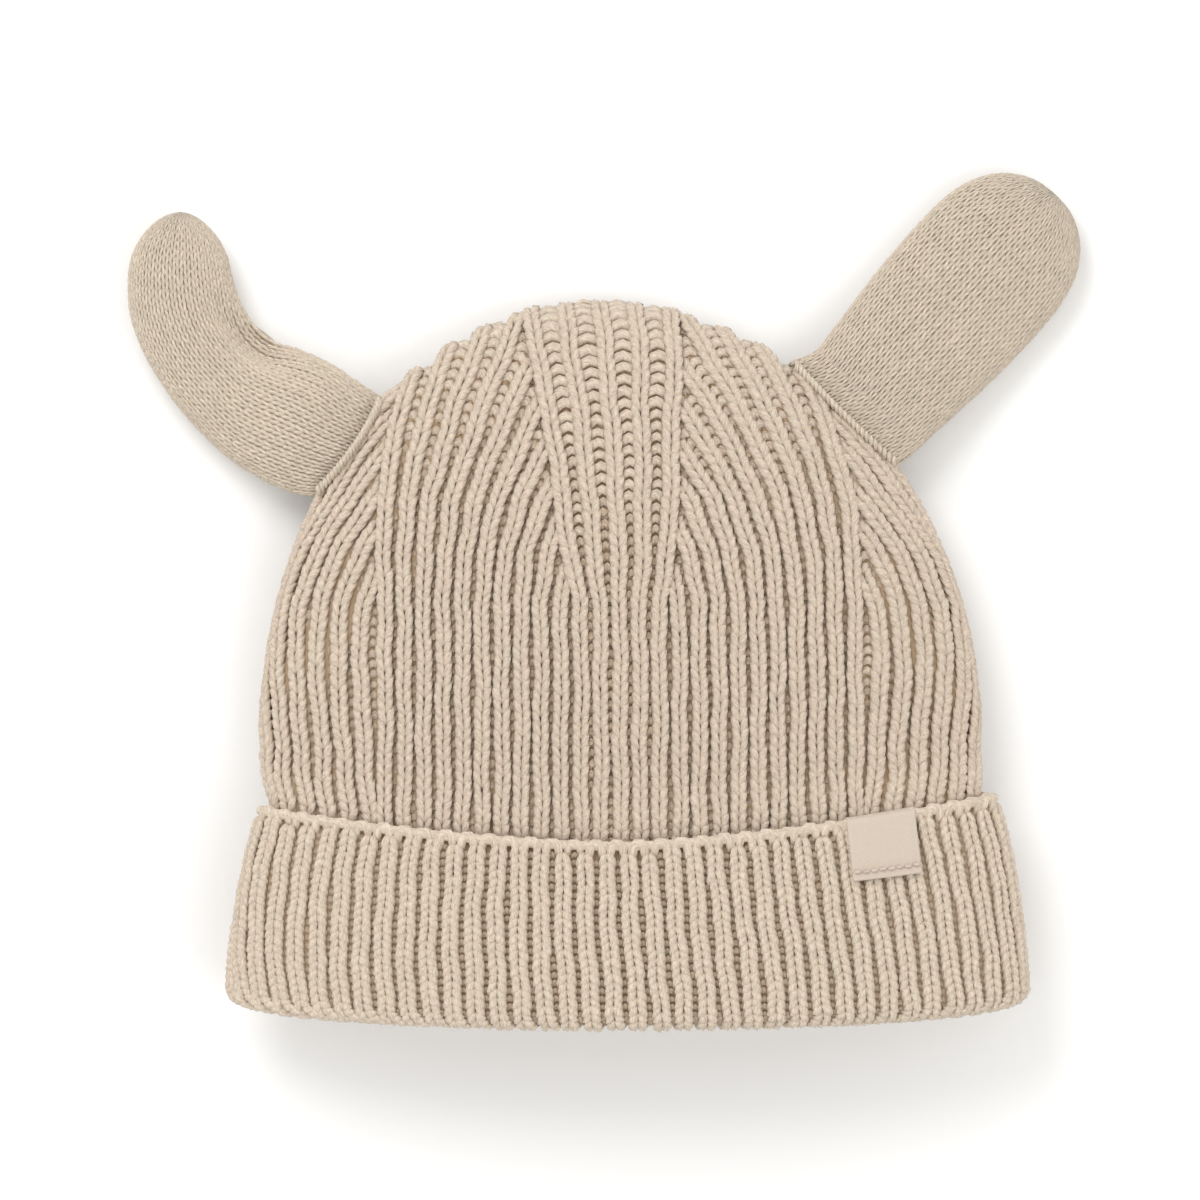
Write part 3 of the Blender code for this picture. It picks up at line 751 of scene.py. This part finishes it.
def cuff_arcs(level, up, front):
    """Distances of the cuff's wales from a face's middle at this height above the fold, and their width."""
    width = reach_of(level) / PER_HALF
    count = int(PER_HALF)
    shares = np.arange(-count - (TURNED_WALES if front else 0), count + 1) / PER_HALF
    down = 1 - min(up / CUFF_HEIGHT, 1.0)
    drift = CUFF_SKEW * down**1.5 * (1 - np.minimum(np.abs(shares), 1.0) ** 4)
    if front:
        drift += CUFF_TURN * down**3.3 * np.clip(-shares, 0.0, 1.1) ** 3.7
    return shares * reach_of(level) + drift, width


def cuff_paths(front):
    """The paths of the cuff's wales on one face, from inside the fold up to the rim, and of the gaps."""
    profile = cuff_profile()
    levels = [cuff_level(up, inset) for up, inset in profile]
    table = [cuff_arcs(level, up, front) for level, (up, _) in zip(levels, profile)]
    reach = np.array([reach_of(level) for level in levels])
    widths = np.array([row[1] for row in table])
    columns = np.minimum(widths, CUFF_COLUMN)
    rows = np.full(len(levels), CUFF_ROW)
    flat = np.zeros(len(levels))
    lines = [np.array(arcs) + wander(levels) for arcs in zip(*(row[0] for row in table))]

    def lay(arcs, widths, kept):
        """Adds the stretch of a line that lies on this face."""
        end = int(np.argmax(np.append(arcs < -reach - 0.3 * columns, True)))
        if end > 4:
            placed = np.clip(arcs[:end], -reach[:end], reach[:end])
            kept.append(surface_path(levels[:end], placed, widths[:end], rows[:end], flat[:end], front))

    wales, gaps = [], []
    for arcs in lines:
        lay(arcs, columns, wales)
    for left, right in zip(lines, lines[1:]):
        lay((left + right) / 2, np.maximum(right - left - COLUMN_SHARE * columns, LEAST_OPENING), gaps)
    return wales, gaps


def make_cuff_knit(front):
    wales, gaps = cuff_paths(front)
    legs = stitch_batch(wales, CUFF_LEG, yarn_sides(front), CUFF_YARN, CUFF_YARN_SUNK, -1.0, 0.5, 0.7)
    purl = purl_batch(gaps, CUFF_PURL_SUNK, 1.6)
    return knit_pieces("cuff", front, legs, purl)


def make_cuff_base():
    """The backing of the cuff: its outer layer, its fold and the lip inside."""
    radius = FOLD_RADIUS
    turns = np.linspace(0, math.pi, 9)
    crest = CUFF_HEIGHT - BACKING_DROP
    profile = [(crest, CUFF_SUNK)]
    profile += [(up, CUFF_SUNK) for up in np.linspace(CUFF_HEIGHT - 0.002, radius, 16)]
    fold = radius - CUFF_SUNK
    profile += [(radius - fold * math.sin(turn), radius - fold * math.cos(turn)) for turn in turns[1:-1]]
    profile += [(up, 2 * radius - CUFF_SUNK) for up in np.linspace(radius, LIP_HEIGHT, 4)]
    profile += [(up, CUFF_LAYER) for up in (LIP_HEIGHT, CUFF_HEIGHT * 0.6, crest)]
    rings = [base_ring(cuff_level(up, inset), CUFF_COLUMNS, 0.0) for up, inset in profile]
    rings.append(rings[0])
    return mesh_from("cuff_backing", grid_batch(rings))


def rim_cord(front):
    """The cord that the rim's arches are bound over."""
    reach = reach_of(cuff_level(CUFF_HEIGHT))
    arcs = np.linspace(-reach, reach, 150)
    level = cuff_level(CUFF_HEIGHT - RIM_CORD_DROP, CUFF_LAYER * 0.45)
    middle = section_points(level, arcs, front, np.zeros_like(arcs))
    # The cord is painted slightly darker all over, a painted shade, as it lies under the rim's edge.
    return cord_batch(middle[None], np.full((1, len(arcs)), RIM_CORD), 8, 0.45)


def make_rim(front):
    """The rim's bound edge: a fat arch of yarn over each groove, from wale to wale, outside and inside."""
    top = cuff_level(CUFF_HEIGHT)
    under = cuff_level(CUFF_HEIGHT - 0.002)
    places, width = cuff_arcs(top, CUFF_HEIGHT, False)
    middles = (places[1:] + places[:-1]) / 2
    two = np.ones(2)
    anchors = []
    for arc in middles:
        path = surface_path([under, top], [arc, arc], two * width, two * CUFF_ROW, two * 0.0, front)
        anchors.append([values[1:] for values in path[:4]] + [path.width[1:], path.row[1:]])
    points, along, across, out, widths, rows = gather(anchors)
    outside = (points - out * RIM_OUTER_SUNK + along * 0.0001, along, across, out, widths, rows)
    inside = (points - out * (CUFF_LAYER - RIM_INNER_SUNK), along, -across, -out, widths, rows)
    # Both rows of arches carry painted shade on their undersides.
    outer = arch_batch(outside, RIM_ARCH, RIM_OUTER_ARCH, 8, 0.35)
    inner = arch_batch(inside, RIM_ARCH, RIM_INNER_ARCH, 6, 0.30)
    return mesh_from(f"rim_edge_{face_name(front)}", join_batches([outer, inner, rim_cord(front)]))


def edge_point(rise, half_thick, hand, gap):
    """A point on the crown's side edge, this far above or below its middle, and gap clear of it."""
    level = crown_level(DOME_FOOT + rise * DOME_HEIGHT)
    sine = min(max(half_thick / level.half_depth, -1.0), 1.0)
    cosine = math.sqrt(1 - sine * sine)
    across = hand * level.taper * cosine / CROWN_WIDTH * 2
    deep = level.taper * sine / CROWN_DEPTH * 2
    outward = np.array([across, level.rise / DOME_HEIGHT, deep])
    outward /= np.linalg.norm(outward)
    place = np.array([level.shift + hand * level.half_width * cosine, level.side - REST_FROM_FOLD, 0.0])
    place[2] = level.height + level.half_depth * sine
    return place + outward * gap


def seam_ring(seam, hand):
    """The ear's sewn end, a ring that follows the crown's side edge."""
    middle, reach = (seam[0] + seam[1]) / 2, (seam[1] - seam[0]) / 2
    ring = []
    for turn in EAR_ANGLES:
        thick = EAR_SEAM_DEPTH / 2 * math.sin(turn)
        ring.append(edge_point(middle + reach * math.cos(turn), thick, hand, -SEAM_SINK))
    return np.array(ring)


def ear_rings(start, sections, hand):
    """Oval rings square to the ear's path. Each section is its middle, half width, half depth and dent."""
    middles = np.array([section[0] for section in sections])
    path = np.concatenate([[start], middles])
    rings = []
    for index, (middle, half_width, half_depth, dent) in enumerate(sections):
        ahead = (path[min(index + 2, len(path) - 1)] - path[index])[:2]
        along = ahead / np.linalg.norm(ahead)
        across = np.array([-along[1], along[0]]) * hand
        ring = []
        for turn in EAR_ANGLES:
            out, lift = math.cos(turn), math.sin(turn)
            crease = ease((out - 0.45) / 0.3)
            hollow = dent * max(lift, 0.0) * (max(out + 0.35, 0.0) + 1.9 * crease)
            height = middle[2] + half_depth * (lift - hollow)
            ring.append([*(middle[:2] + across * out * half_width), max(height, 0.0)])
        rings.append(np.array(ring))
    return rings


Ear = namedtuple("Ear", "hand seam length width depth axes sections tip")


def ear_form(ear):
    """An ear's rings as its solid has them, and its tip."""
    start = edge_point((ear.seam[0] + ear.seam[1]) / 2, 0.0, ear.hand, SKIN_GAP)
    lying = ear.depth / 2 - PRESSED / 2

    def place(out, aside, drop):
        flat = start[:2] + ear.axes[0] * out * ear.length + ear.axes[1] * aside * ear.length
        return np.array([*flat, mix(start[2], lying, drop)])

    sections = [
        (place(out, aside, drop), width * ear.width / 2, depth * ear.depth / 2, dent[0] if dent else 0.0)
        for out, aside, width, depth, drop, *dent in ear.sections
    ]
    return [seam_ring(ear.seam, ear.hand)] + ear_rings(start, sections, ear.hand), place(*ear.tip, 1.0)


def right_ear_axes():
    """The directions square to the right ear's seam and along it."""
    ends = [edge_point(rise, 0.0, 1, 0.0) for rise in RIGHT_EAR_SEAM_SHARES]
    chord = ends[1] - ends[0]
    out = np.array([chord[1], -chord[0]]) / np.linalg.norm(chord[:2])
    return out, np.array([-out[1], out[0]])


def smooth_along(rings, tip, rows):
    """Rings spaced evenly along the ear, on a smooth curve through the given ones and the tip."""
    stack = np.array(rings + [np.tile(tip, (len(rings[0]), 1))])
    middles = stack.mean(axis=1)
    run = running_length(middles)
    slopes = np.empty_like(stack)
    slopes[1:-1] = (stack[2:] - stack[:-2]) / (run[2:] - run[:-2])[:, None, None]
    slopes[0] = (stack[1] - stack[0]) / (run[1] - run[0])
    slopes[-1] = (stack[-1] - stack[-2]) / (run[-1] - run[-2])
    # The rows close up towards the tip, where the ear turns over.
    share = np.linspace(0, 1, rows)
    at = run[-1] * np.sin(share * math.pi / 2) ** 0.9
    made = []
    for distance in at:
        index = min(int(np.searchsorted(run, distance, side="right")) - 1, len(run) - 2)
        gap = run[index + 1] - run[index]
        t = (distance - run[index]) / gap
        ring = (2 * t**3 - 3 * t**2 + 1) * stack[index] + (t**3 - 2 * t**2 + t) * gap * slopes[index]
        ring += (-2 * t**3 + 3 * t**2) * stack[index + 1] + (t**3 - t**2) * gap * slopes[index + 1]
        made.append(ring)
    return made


def ring_normals(rings):
    """Unit directions out of the surface that the rings make."""
    stack = np.array(rings)
    along = np.gradient(stack, axis=0)
    around = np.roll(stack, -1, axis=1) - np.roll(stack, 1, axis=1)
    out = unit(np.cross(along, around))
    middle = stack.mean(axis=1, keepdims=True)
    facing = np.sign(((stack - middle) * out).sum(axis=(1, 2)))
    return out * facing[:, None, None]


def ear_paths(rings, wale, row_height):
    """Paths of the ear's wales, spaced evenly round it and drawn together where it closes."""
    stack = np.array(rings)
    out = ring_normals(rings)
    closed = np.concatenate([stack, stack[:, :1]], axis=1)
    steps = np.linalg.norm(np.diff(closed, axis=1), axis=2)
    run = np.concatenate([np.zeros((len(stack), 1)), np.cumsum(steps, axis=1)], axis=1)
    count = int(round(run[:, -1].max() / wale))
    closed_out = np.concatenate([out, out[:, :1]], axis=1)
    widths = run[:, -1] / count
    narrow = widths < wale * 0.045
    end = int(np.argmax(narrow)) if narrow.any() else len(stack)
    paths = []
    for number in range(count):
        middles = (number + 0.5) * widths
        points, outs = (
            np.array(
                [
                    [np.interp(middle, run[row], values[row, :, axis]) for axis in range(3)]
                    for row, middle in enumerate(middles)
                ]
            )
            for values in (closed, closed_out)
        )
        points = points[:end]
        along = unit(np.gradient(points, axis=0))
        out_here = unit(outs[:end])
        across = unit(np.cross(along, out_here))
        rows = np.full(end, row_height)
        length = running_length(points)
        paths.append(Path(points, along, across, out_here, widths[:end], rows, length, np.zeros(end)))
    return paths


def make_ear_knit(name, rings, knit):
    wale, row = knit
    paths = ear_paths(rings, wale, row)
    legs = stitch_batch(paths, PLAIN_LEG, 5, EAR_YARN, EAR_YARN_SUNK * wale, first=0.3, spare=0.2)
    return mesh_from(name, legs)


def make_ear_seam(name, seam, hand):
    """The sewing yarn that holds an ear's front to the crown's edge: slanted stitches, each over the last."""
    middle, reach = (seam[0] + seam[1]) / 2, (seam[1] - seam[0]) / 2
    shares = np.linspace(0, 1, 6)[:, None]
    lift = np.array([0.0, 0.0, 1.0]) * (0.0012 * np.sin(math.pi * shares) + 0.0004)
    paths = []
    for spot, following in zip(SEAM_SPOTS, SEAM_SPOTS[1:]):
        ends = []
        for share, clear in ((spot, -0.0006), (following, 0.0010)):
            thick = EAR_SEAM_DEPTH / 2 * math.sqrt(1 - share * share)
            ends.append(edge_point(middle + reach * share, thick, hand, clear))
        start, end = ends
        start = start - (end - start) * 0.35
        end = end + (end - start) * 0.25
        paths.append(mix(start, end, shares) + lift)
    radii = np.tile(SEAM_YARN * np.array([0.55, 0.9, 1.0, 1.0, 0.9, 0.55]), (len(paths), 1))
    return mesh_from(name, cord_batch(np.array(paths), radii, 7, 0.8))


def make_ear_base(name, rings):
    """The backing under an ear's stitches, a closed form."""
    out = ring_normals(rings)
    inner = []
    for ring, outward in zip(rings[:-1], out[:-1]):
        middle = ring.mean(axis=0)
        size = np.linalg.norm(ring - middle, axis=1).min()
        if inner and size < 1.3 * EAR_SUNK:
            break
        placed = ring - outward * min(EAR_SUNK, size * 0.5)
        placed[:, 2] = np.maximum(placed[:, 2], FLOOR_CLEAR + 0.0005)
        inner.append(placed)
    return mesh_from(name, grid_batch(capped(inner[0].mean(axis=0), inner, inner[-1].mean(axis=0))))


def label_skin(up, leaf_foot):
    """How far the leaf's face stands out from the cuff, fuller at the hem and drawn in along its stitches."""
    height = up - leaf_foot
    hem = 0.00022 * ease((LABEL_HEM * 1.25 - height) / 0.0004)
    drawn = 0.00012 * math.exp(-(((height - LABEL_HEM) / 0.00045) ** 2))
    full = 0.00025 * math.sin(math.pi * min(max((height - LABEL_HEM) / 0.013, 0.0), 1.0))
    return LABEL_THICK + hem - drawn + full


def make_label():
    """The ribbon label, folded over the rim."""
    out, back = -SKIN_GAP, CUFF_LAYER + SKIN_GAP
    rim = CUFF_HEIGHT + RIM_ROLL - LABEL_SETTLE
    leaf_foot, tail_foot = CUFF_HEIGHT - LABEL_LENGTH, CUFF_HEIGHT - LABEL_TAIL
    leaf = [(up, out - label_skin(up, leaf_foot)) for up in np.linspace(leaf_foot, rim - 0.0006, 60)]
    leaf[0] = (leaf_foot, out - LABEL_THICK * 0.7)
    outer = leaf + [(rim + LABEL_FOLD * 0.7, out - LABEL_THICK * 0.6), (rim + LABEL_FOLD, CUFF_LAYER * 0.15)]
    outer += [(rim + LABEL_FOLD, CUFF_LAYER * 0.75), (rim + LABEL_FOLD * 0.6, back + LABEL_THICK * 0.6)]
    outer += [(up, back + LABEL_THICK) for up in np.linspace(rim, tail_foot, 5)]
    inner = [(up, back) for up in np.linspace(tail_foot, rim, 5)] + [(rim, out)]
    inner += [(up, out) for up in np.linspace(rim, leaf_foot, 5)[1:]]
    arcs = LABEL_PLACE + np.linspace(-0.5, 0.5, 41) * LABEL_WIDTH
    flush = np.zeros_like(arcs)
    levels = [
        section_points(cuff_level(up, inset), arcs + LABEL_SLANT * (CUFF_HEIGHT - up), True, flush)
        for up, inset in outer + inner
    ]
    rings = [np.array([points[step] for points in levels]) for step in range(len(arcs))]
    return mesh_from("label_ribbon", grid_batch(capped(rings[0].mean(axis=0), rings, rings[-1].mean(axis=0))))


def make_label_stitches():
    """The running stitch along the label's hem."""
    leaf_foot = CUFF_HEIGHT - LABEL_LENGTH
    paths = []
    for number in range(LABEL_STITCHES):
        middle = (number + 0.5) / LABEL_STITCHES - 0.5
        shares = middle + np.linspace(-0.40, 0.40, 6) / LABEL_STITCHES
        arcs = LABEL_PLACE + shares * LABEL_WIDTH * 0.97
        rise = np.array([0.0, 0.00032, 0.00042, 0.00042, 0.00032, 0.0])
        up = leaf_foot + LABEL_HEM + random.normal(0, 0.00006)
        arcs += LABEL_SLANT * (CUFF_HEIGHT - up)
        level = cuff_level(up, -SKIN_GAP - LABEL_THICK)
        paths.append(section_points(level, arcs, True, -0.00016 - rise))
    radii = np.tile(LABEL_THREAD * np.array([0.6, 0.95, 1.0, 1.0, 0.95, 0.6]), (LABEL_STITCHES, 1))
    return mesh_from("label_stitches", cord_batch(np.array(paths), radii, 7, 1.0))


def clean(piece):
    """Merges doubled points, drops the faces that vanish with them and turns all the faces out."""
    bm = bmesh.new()
    bm.from_mesh(piece.data)
    bmesh.ops.remove_doubles(bm, verts=bm.verts, dist=1e-6)
    bmesh.ops.dissolve_degenerate(bm, edges=bm.edges, dist=1e-6)
    bmesh.ops.recalc_face_normals(bm, faces=bm.faces)
    bm.to_mesh(piece.data)
    bm.free()
    piece.data.shade_smooth()


class Nodes:
    """Short calls for the nodes that the materials share."""

    def __init__(self, name):
        self.material = bpy.data.materials.new(name)
        self.material.use_nodes = True
        self.tree = self.material.node_tree
        self.shader = self.tree.nodes["Principled BSDF"]
        self.count = 0

    def add(self, kind, inputs=(), **values):
        """A new node with these settings. Each input is a socket's name or number and its value or source."""
        self.count += 1
        made = self.tree.nodes.new(kind)
        made.location = (-220 * (self.count % 9) - 300, -260 * (self.count // 9) + 400)
        for key, value in values.items():
            setattr(made, key, value)
        for socket, value in inputs:
            self.feed(made.inputs[socket], value)
        return made

    def feed(self, socket, value):
        if isinstance(value, bpy.types.NodeSocket):
            self.tree.links.new(value, socket)
        else:
            socket.default_value = value

    def math(self, operation, first, second=0.0):
        return self.add("ShaderNodeMath", ((0, first), (1, second)), operation=operation).outputs[0]

    def noise(self, vector, scale, detail=3.0):
        made = self.add("ShaderNodeTexNoise", (("Vector", vector), ("Scale", scale), ("Detail", detail)))
        return made.outputs["Fac"]

    def spread(self, value, low, high, to_low, to_high):
        """The value's range from low to high, mapped to another."""
        inputs = ((0, value), (1, low), (2, high), (3, to_low), (4, to_high))
        return self.add("ShaderNodeMapRange", inputs).outputs[0]

    def blend(self, share, first, second):
        inputs = (("Factor", share), ("A", (*first, 1.0) if len(first) == 3 else first), ("B", second))
        return self.add("ShaderNodeMix", inputs, data_type="RGBA").outputs["Result"]

    def bump(self, coarse, fine):
        """Sets the shader's bump to two heights together."""
        height = self.math("ADD", coarse, fine)
        made = self.add("ShaderNodeBump", (("Strength", 1.0), ("Distance", 1.0), ("Height", height)))
        self.feed(self.shader.inputs["Normal"], made.outputs["Normal"])

    def colour(self, base, coarse, fine):
        """Sets the shader's colour to a base, lightened or darkened by two tones."""
        tone = self.math("MULTIPLY", coarse, fine)
        made = self.add("ShaderNodeVectorMath", ((0, base), ("Scale", tone)), operation="SCALE")
        self.feed(self.shader.inputs["Base Color"], made.outputs["Vector"])


def yarn_material(name, light, painted_shade, coarse=1.0):
    """Spun wool: fibres that wind round each strand, flecks, colour that drifts from stitch to stitch, and
    painted shade, a darker colour blended in where the shade attribute is low.
    """
    nodes = Nodes(name)
    shader = nodes.shader
    shader.inputs["Roughness"].default_value = 0.9
    shader.inputs["Specular IOR Level"].default_value = 0.2
    shader.inputs["Sheen Weight"].default_value = 0.3
    shader.inputs["Sheen Roughness"].default_value = 0.5
    shader.inputs["Sheen Tint"].default_value = (1.0, 0.96, 0.9, 1.0)
    place = nodes.add("ShaderNodeTexCoord").outputs["Object"]
    shade = nodes.add("ShaderNodeAttribute", attribute_name="shade").outputs["Fac"]
    tint = nodes.add("ShaderNodeAttribute", attribute_name="tint").outputs["Fac"]
    yarn = nodes.add("ShaderNodeAttribute", attribute_name="yarn").outputs["Vector"]
    run = nodes.add("ShaderNodeSeparateXYZ", (("Vector", yarn),)).outputs["X"]
    turned = (("Vector", yarn), ("Angle", nodes.math("MULTIPLY", run, 0.55)))
    wound = nodes.add("ShaderNodeVectorRotate", turned, rotation_type="X_AXIS").outputs["Vector"]
    stretch = ((0, wound), (1, (0.5, 1.5, 1.5)))
    stretched = nodes.add("ShaderNodeVectorMath", stretch, operation="MULTIPLY").outputs["Vector"]
    own = nodes.add("ShaderNodeCombineXYZ", (("X", nodes.math("MULTIPLY", tint, 90.0)),)).outputs["Vector"]
    strand = nodes.add("ShaderNodeVectorMath", ((0, stretched), (1, own)), operation="ADD").outputs["Vector"]
    fibres = nodes.noise(strand, 1.7 * coarse, 4.0)
    flecks = nodes.noise(place, 3100.0, 2.0)
    patches = nodes.noise(place, 60.0)

    nodes.bump(nodes.math("MULTIPLY", fibres, 0.00040 / coarse), nodes.math("MULTIPLY", flecks, 0.00014))

    drift = nodes.math("ADD", nodes.math("MULTIPLY", patches, 0.5), nodes.math("MULTIPLY", tint, 0.5))
    pinker = (light[0] * 1.02, light[1] * 0.97, light[2] * 0.97)
    greener = (light[0] * 0.97, light[1] * 0.985, light[2] * 0.95, 1.0)
    face = nodes.blend(drift, pinker, greener)
    deep = nodes.spread(shade, 0.0, 0.5, 0.0, 1.0)
    # Painted shade: where the shade attribute is low, on undersides and sunk ends, the colour turns to the
    # dark shade colour.
    base = nodes.blend(deep, painted_shade, face)
    streaks = nodes.spread(fibres, 0.32, 0.68, 0.76, 1.16)
    nodes.colour(base, streaks, nodes.spread(flecks, 0.3, 0.7, 0.93, 1.05))
    return nodes.material


def ribbon_material(name, light):
    """Twill ribbon: fine slanted ridges."""
    nodes = Nodes(name)
    nodes.shader.inputs["Roughness"].default_value = 0.62
    nodes.shader.inputs["Sheen Weight"].default_value = 0.15
    place = nodes.add("ShaderNodeTexCoord").outputs["Object"]
    turned = (("Vector", place), ("Angle", math.radians(-38)))
    slanted = nodes.add("ShaderNodeVectorRotate", turned, rotation_type="Z_AXIS").outputs["Vector"]
    wave = (("Scale", 620.0), ("Distortion", 1.2), ("Detail", 2.0), ("Detail Scale", 1.5))
    inputs = (("Vector", slanted), *wave)
    ridges = nodes.add("ShaderNodeTexWave", inputs, bands_direction="X").outputs["Fac"]
    grain = nodes.noise(place, 2600.0, 2.0)
    nodes.bump(nodes.math("MULTIPLY", ridges, 0.00008), nodes.math("MULTIPLY", grain, 0.00006))
    nodes.colour(light, nodes.spread(ridges, 0.0, 1.0, 0.89, 1.06), nodes.spread(grain, 0.3, 0.7, 0.96, 1.04))
    return nodes.material


def dress(piece, material, node_name):
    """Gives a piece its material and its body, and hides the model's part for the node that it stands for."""
    piece.data.materials.clear()
    piece.data.materials.append(material)
    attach(piece, "root")
    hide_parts(node_name)


def make_floor():
    mesh = bpy.data.meshes.new("floor")
    size = 3.0
    corners = [(-size, -size, 0.0), (size, -size, 0.0), (size, size, 0.0), (-size, size, 0.0)]
    mesh.from_pydata(corners, [], [(0, 1, 2, 3)])
    nodes = Nodes("pale_floor")
    nodes.shader.inputs["Roughness"].default_value = 0.9
    cloudy = nodes.add("ShaderNodeTexNoise", (("Scale", 3.0),)).outputs["Fac"]
    tone = nodes.add("ShaderNodeMapRange", (("Value", cloudy), ("To Min", 0.93), ("To Max", 0.95)))
    nodes.feed(nodes.shader.inputs["Base Color"], tone.outputs["Result"])
    mesh.materials.append(nodes.material)
    floor = add_object("floor", mesh)


def area_light(name, place, size, power, target=(0.0, 0.02, 0.0)):
    light = bpy.data.lights.new(name, "AREA")
    light.shape = "DISK"
    light.size = size
    light.energy = power
    lamp = add_object(name, light)
    lamp.location = place
    direction = np.array(place) - np.array(target)
    lamp.rotation_euler = (
        math.atan2(math.hypot(direction[0], direction[1]), direction[2]),
        0.0,
        math.atan2(direction[0], -direction[1]),
    )


def make_studio():
    world = bpy.data.worlds.new("studio")
    world.use_nodes = True
    background = world.node_tree.nodes["Background"]
    background.inputs["Color"].default_value = (1.0, 0.99, 0.97, 1.0)
    background.inputs["Strength"].default_value = 0.9
    bpy.context.scene.world = world
    area_light("key", (-0.55, 0.9, 1.1), 0.8, 9.0)
    area_light("fill", (0.8, -0.5, 1.3), 1.0, 4.0)
    bpy.context.scene.view_settings.view_transform = "Standard"


def make_camera():
    camera = bpy.data.cameras.new("camera")
    camera.sensor_width = SENSOR
    camera.lens = SENSOR * CAMERA_DISTANCE / VIEW_WIDTH
    camera.clip_start = 0.01
    holder = add_object("camera", camera)
    holder.location = (*VIEW_MIDDLE, MIDDLE_HEIGHT + CAMERA_DISTANCE)
    bpy.context.scene.camera = holder


def make_hat():
    knit = yarn_material("knit_yarn", YARN_LIGHT, YARN_PAINTED_SHADE)
    cuff_yarn = yarn_material("cuff_yarn", CUFF_LIGHT, YARN_PAINTED_SHADE)
    ear_yarn = yarn_material("ear_yarn", EAR_LIGHT, YARN_PAINTED_SHADE, 0.8)
    # The backings' brown is painted shade.
    backing = yarn_material("backing", BACKING_PAINTED_SHADE, BACKING_PAINTED_SHADE)
    ear_backing = yarn_material("ear_backing", EAR_BACKING_PAINTED_SHADE, EAR_BACKING_PAINTED_SHADE)
    ribbon = ribbon_material("ribbon", LABEL_LIGHT)
    thread = yarn_material("thread", THREAD_LIGHT, THREAD_LIGHT)
    for front in (True, False):
        for piece in make_crown_knit(front):
            dress(piece, knit, "crown")
        for piece in (*make_cuff_knit(front), make_rim(front)):
            dress(piece, cuff_yarn, "cuff")
    for piece, node_name, slot in (
        (make_crown_base(), "crown", "rib_knit"),
        (make_cuff_base(), "cuff", "cuff_knit"),
    ):
        clean(piece)
        dress(piece, backing, node_name)
    right = RIGHT_EAR_LENGTH, RIGHT_EAR_WIDTH, RIGHT_EAR_DEPTH, right_ear_axes(), RIGHT_EAR_SECTIONS
    left = LEFT_EAR_LENGTH, LEFT_EAR_WIDTH, LEFT_EAR_DEPTH, np.array([[-1, 0], [0, 1]]), LEFT_EAR_SECTIONS
    for side, ear, gauge in (
        ("right", Ear(1, RIGHT_EAR_SEAM_SHARES, *right, RIGHT_EAR_TIP_SHARES), RIGHT_EAR_KNIT),
        ("left", Ear(-1, LEFT_EAR_SEAM_SHARES, *left, LEFT_EAR_TIP_SHARES), LEFT_EAR_KNIT),
    ):
        node_name, slot = f"ear_{side}", f"ear_knit_{side}"
        smooth = smooth_along(*ear_form(ear), EAR_RINGS)
        dress(make_ear_knit(f"ear_knit_{side}", smooth, gauge), ear_yarn, node_name)
        dress(make_ear_seam(f"ear_seam_{side}", ear.seam, ear.hand), ear_yarn, node_name)
        base = make_ear_base(f"ear_backing_{side}", smooth)
        clean(base)
        dress(base, ear_backing, node_name)
    label = make_label()
    clean(label)
    dress(label, ribbon, "label")
    dress(make_label_stitches(), thread, "label")


make_hat()
make_floor()
make_studio()
make_camera()
